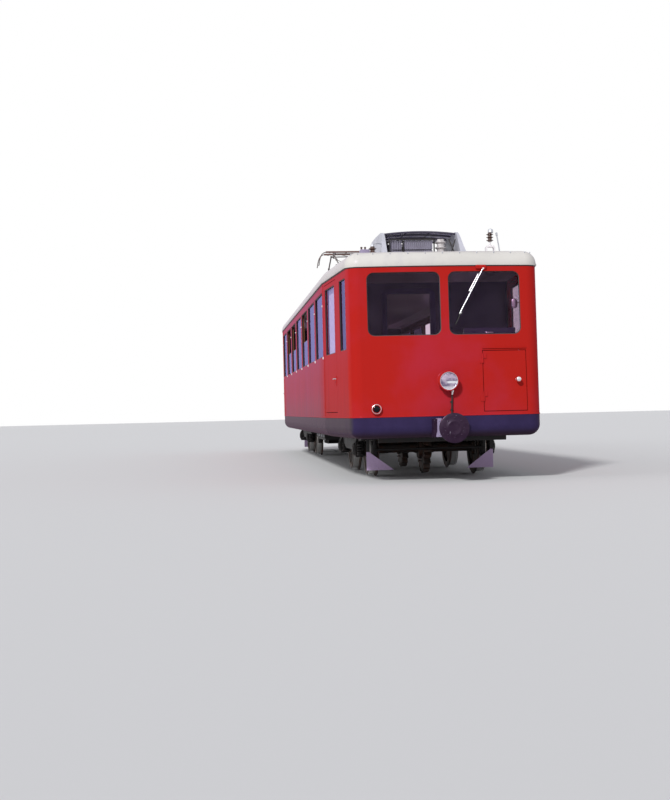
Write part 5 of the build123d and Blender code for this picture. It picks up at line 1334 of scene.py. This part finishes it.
def benches():
    """Slatted seats back to back: slats follow a seat that dips and a back that leans, on cast ends."""
    slats, ends = builds(2)
    seat_at = np.arange(1, 6) * 0.075
    seat_z = 1.350 - 0.014 * np.sin((seat_at - 0.03) / 0.38 * np.pi)
    back_z = np.array([1.44, 1.53, 1.62, 1.71, 1.80, 1.875])
    back_at = 0.024 + 0.050 * (1.88 - back_z) / 0.48
    outline = np.array([(0.40, FLOOR_Z), (0.36, FLOOR_Z), (0.24, 1.15), (0.36, 1.27), (0.42, 1.315), (0.42, 1.338),
                        (0.09, 1.330), (0.014, 1.89), (-0.014, 1.89), (-0.09, 1.330), (-0.42, 1.338),
                        (-0.42, 1.315), (-0.36, 1.27), (-0.24, 1.15), (-0.36, FLOOR_Z), (-0.40, FLOOR_Z),
                        (0.0, 1.06)])
    for side in BOTH:
        middle = side * 0.81
        for post in range(1, WINDOWS):
            y = (post - WINDOWS / 2) * WINDOW_PITCH
            for facing in BOTH:
                for places, levels, size in ((seat_at, seat_z, (0.97, 0.064, 0.020)),
                                             (back_at, back_z, (0.97, 0.016, 0.075))):
                    for at, z in zip(places, levels):
                        slats.box((middle, y + facing * at, z), size)
            for x in (-0.46, 0.0, 0.46):
                ends.slab(outline + (y, 0), 0, (middle + x - 0.012, middle + x + 0.012))
    slats.piece("bench_slats", "wood", replaces=("benches",))
    ends.piece("bench_ends", "interior")


def driver_desks():
    """Desk with a sloping gauge panel, a spoked hand wheel, a lever, and a turned wooden stool."""
    desk, chrome, seat = builds(3)
    x, y, top = 0.62, -6.88, 1.78
    wheel_y, wheel_z, stool_y = y + 0.02, top + 0.095, y + 0.62
    desk.box((x, y, (FLOOR_Z + top - 0.03) / 2), (0.74, 0.25, top - 0.03 - FLOOR_Z), 0.008)
    desk.box((x, y, top - 0.016), (0.76, 0.27, 0.032), 0.008)
    panel = np.array([(-0.12, 0.0), (0.02, 0.0), (-0.055, 0.15), (-0.12, 0.16)])
    desk.slab(panel + (y, top - 0.004), 0, (x - 0.33, x + 0.33))
    for across in (-0.20, 0.0, 0.20):
        chrome.revolve([(-0.004, 0.046), (0.010, 0.046), (0.014, 0.040), (0.012, 0.036), (0.011, 0.0)],
                       (x + across, y - 0.018, top + 0.075), (0, 0.894, 0.447))
    chrome.revolve(circle(0.013, 14) + (0.0, 0.136), (x, wheel_y, wheel_z), UP, 40, True)
    chrome.revolve([(-0.10, 0.026), (-0.09, 0.022), (0.0, 0.020), (0.008, 0.028), (0.012, 0.012), (0.013, 0.0)],
                   (x, wheel_y, top + 0.09), UP, 18)
    for spoke_x, spoke_y in circle(0.130, 3):
        chrome.rod((x, wheel_y, wheel_z), (x + spoke_x, wheel_y + spoke_y, wheel_z), 0.007, 8)
    chrome.rod((x - 0.28, y + 0.04, top), (x - 0.27, y + 0.09, top + 0.14), 0.008, 8)
    desk.revolve([(0.0, 0.17), (0.010, 0.17), (0.020, 0.12), (0.05, 0.045), (0.10, 0.036), (0.60, 0.034),
                  (0.62, 0.0)], (x, stool_y, FLOOR_Z), UP, 28)
    seat.revolve([(-0.006, 0.0), (-0.006, 0.15), (0.006, 0.182), (0.030, 0.190), (0.048, 0.184), (0.058, 0.165),
                  (0.050, 0.09), (0.046, 0.0)], (x, stool_y, 1.50), UP, 40)
    at_both_ends(desk, chrome, seat)
    desk.piece("desk_cases", "interior", replaces=("driver_desk_front", "driver_desk_rear"))
    chrome.piece("desk_controls", "chrome")
    seat.piece("stool_seats", "wood")


def passage_frames():
    """Architraves round the partitions' passages, on both faces, and the cab mirrors."""
    frames, mirrors = builds(2)
    height = 2.56 - FLOOR_Z
    partition_faces = ((5.0977, 1), (5.0623, -1))
    for at, inward in partition_faces:
        place = flat_face((-0.12, -at, 0), ACROSS, UP)
        profile = [(0.0, 0.0), (0.0, -0.014 * inward), (0.05, -0.018 * inward), (0.075, -0.010 * inward),
                   (0.075, 0.0)]
        frames.loft(lambda u, v, w: place(u, np.maximum(v, FLOOR_Z), w), 0.62, height, 0.002, profile,
                    (0.0, FLOOR_Z + height / 2), True, 1)
    spot = np.array([0.925, -front_y(0.925, 2.234) + 0.10, 2.234])
    mirrors.loft(flat_face(spot, ACROSS, UP), 0.075, 0.125, 0.0374,
                 [(-0.006, -0.008), (0, -0.004), (0, 0.010), (-0.012, 0.018)], steps=8)
    elbow = spot + (0.09, 0.09, 0.02)
    mirrors.rod(spot + (0.0, 0.012, 0.0), elbow, 0.006, 8)
    mirrors.rod(elbow, spot + (0.165, 0.10, 0.02), 0.006, 8)
    at_both_ends(frames, mirrors)
    frames.piece("passage_frames", "interior", DOORWAY_PAINT)
    mirrors.piece("cab_mirrors", "chrome")


for make in (side_windows, front_windows, door_fittings, door_curtain, body_mouldings, lamps, buffers, wipers,
             hatch_knobs, roof_fittings, resistor_grids, hood, pantograph, wheelsets, bogie_gear, motor_case,
             underfloor, benches, driver_desks, passage_frames):
    make()


# Studio

def white_backdrop():
    """World: soft light on surfaces; plain white for the camera, in reflections and through glass."""
    world = bpy.data.worlds.new("world")
    bpy.context.scene.world = world
    world.use_nodes = True
    tree = world.node_tree
    tree.nodes.clear()
    path = tree.nodes.new("ShaderNodeLightPath")
    seen = path.outputs["Is Camera Ray"]
    for ray in ("Is Glossy Ray", "Is Transmission Ray"):
        either = tree.nodes.new("ShaderNodeMath")
        either.operation = "MAXIMUM"
        tree.links.new(seen, either.inputs[0])
        tree.links.new(path.outputs[ray], either.inputs[1])
        seen = either.outputs[0]
    both = tree.nodes.new("ShaderNodeMixShader")
    tree.links.new(seen, both.inputs[0])
    for socket, color, strength in ((1, (0.90, 0.91, 1.0), 0.46), (2, (1.0, 1.0, 1.0), 1.0)):
        light = tree.nodes.new("ShaderNodeBackground")
        light.inputs[0].default_value = (*color, 1.0)
        light.inputs[1].default_value = strength
        tree.links.new(light.outputs[0], both.inputs[socket])
    out = tree.nodes.new("ShaderNodeOutputWorld")
    tree.links.new(both.outputs[0], out.inputs[0])


def add_sun(name, strength, angle_degrees, direction):
    """Soft lamp far away that shines along a direction."""
    lamp = bpy.data.lights.new(name, "SUN")
    lamp.energy = strength
    lamp.angle = math.radians(angle_degrees)
    holder = bpy.data.objects.new(name, lamp)
    holder.rotation_euler = Vector(direction).to_track_quat("-Z", "Y").to_euler()
    bpy.context.scene.collection.objects.link(holder)


def add_floor():
    """Wide pale floor under the wheels."""
    half = 120.0
    mesh = bpy.data.meshes.new("studio_floor")
    mesh.from_pydata([(-half, -half, 0), (half, -half, 0), (half, half, 0), (-half, half, 0)], [], [(0, 1, 2, 3)])
    floor = bpy.data.objects.new("studio_floor", mesh)
    bpy.context.scene.collection.objects.link(floor)
    pale = Finish("studio_floor", (0.62, 0.62, 0.62), 0.9)
    mesh.materials.append(pale.material)


white_backdrop()
add_sun("key", 2.7, 7.0, (0.45, 0.80, -0.62))
add_sun("fill", 0.35, 40.0, (0.9, 0.1, -0.5))
add_floor()
bpy.context.scene.view_settings.view_transform = "Standard"
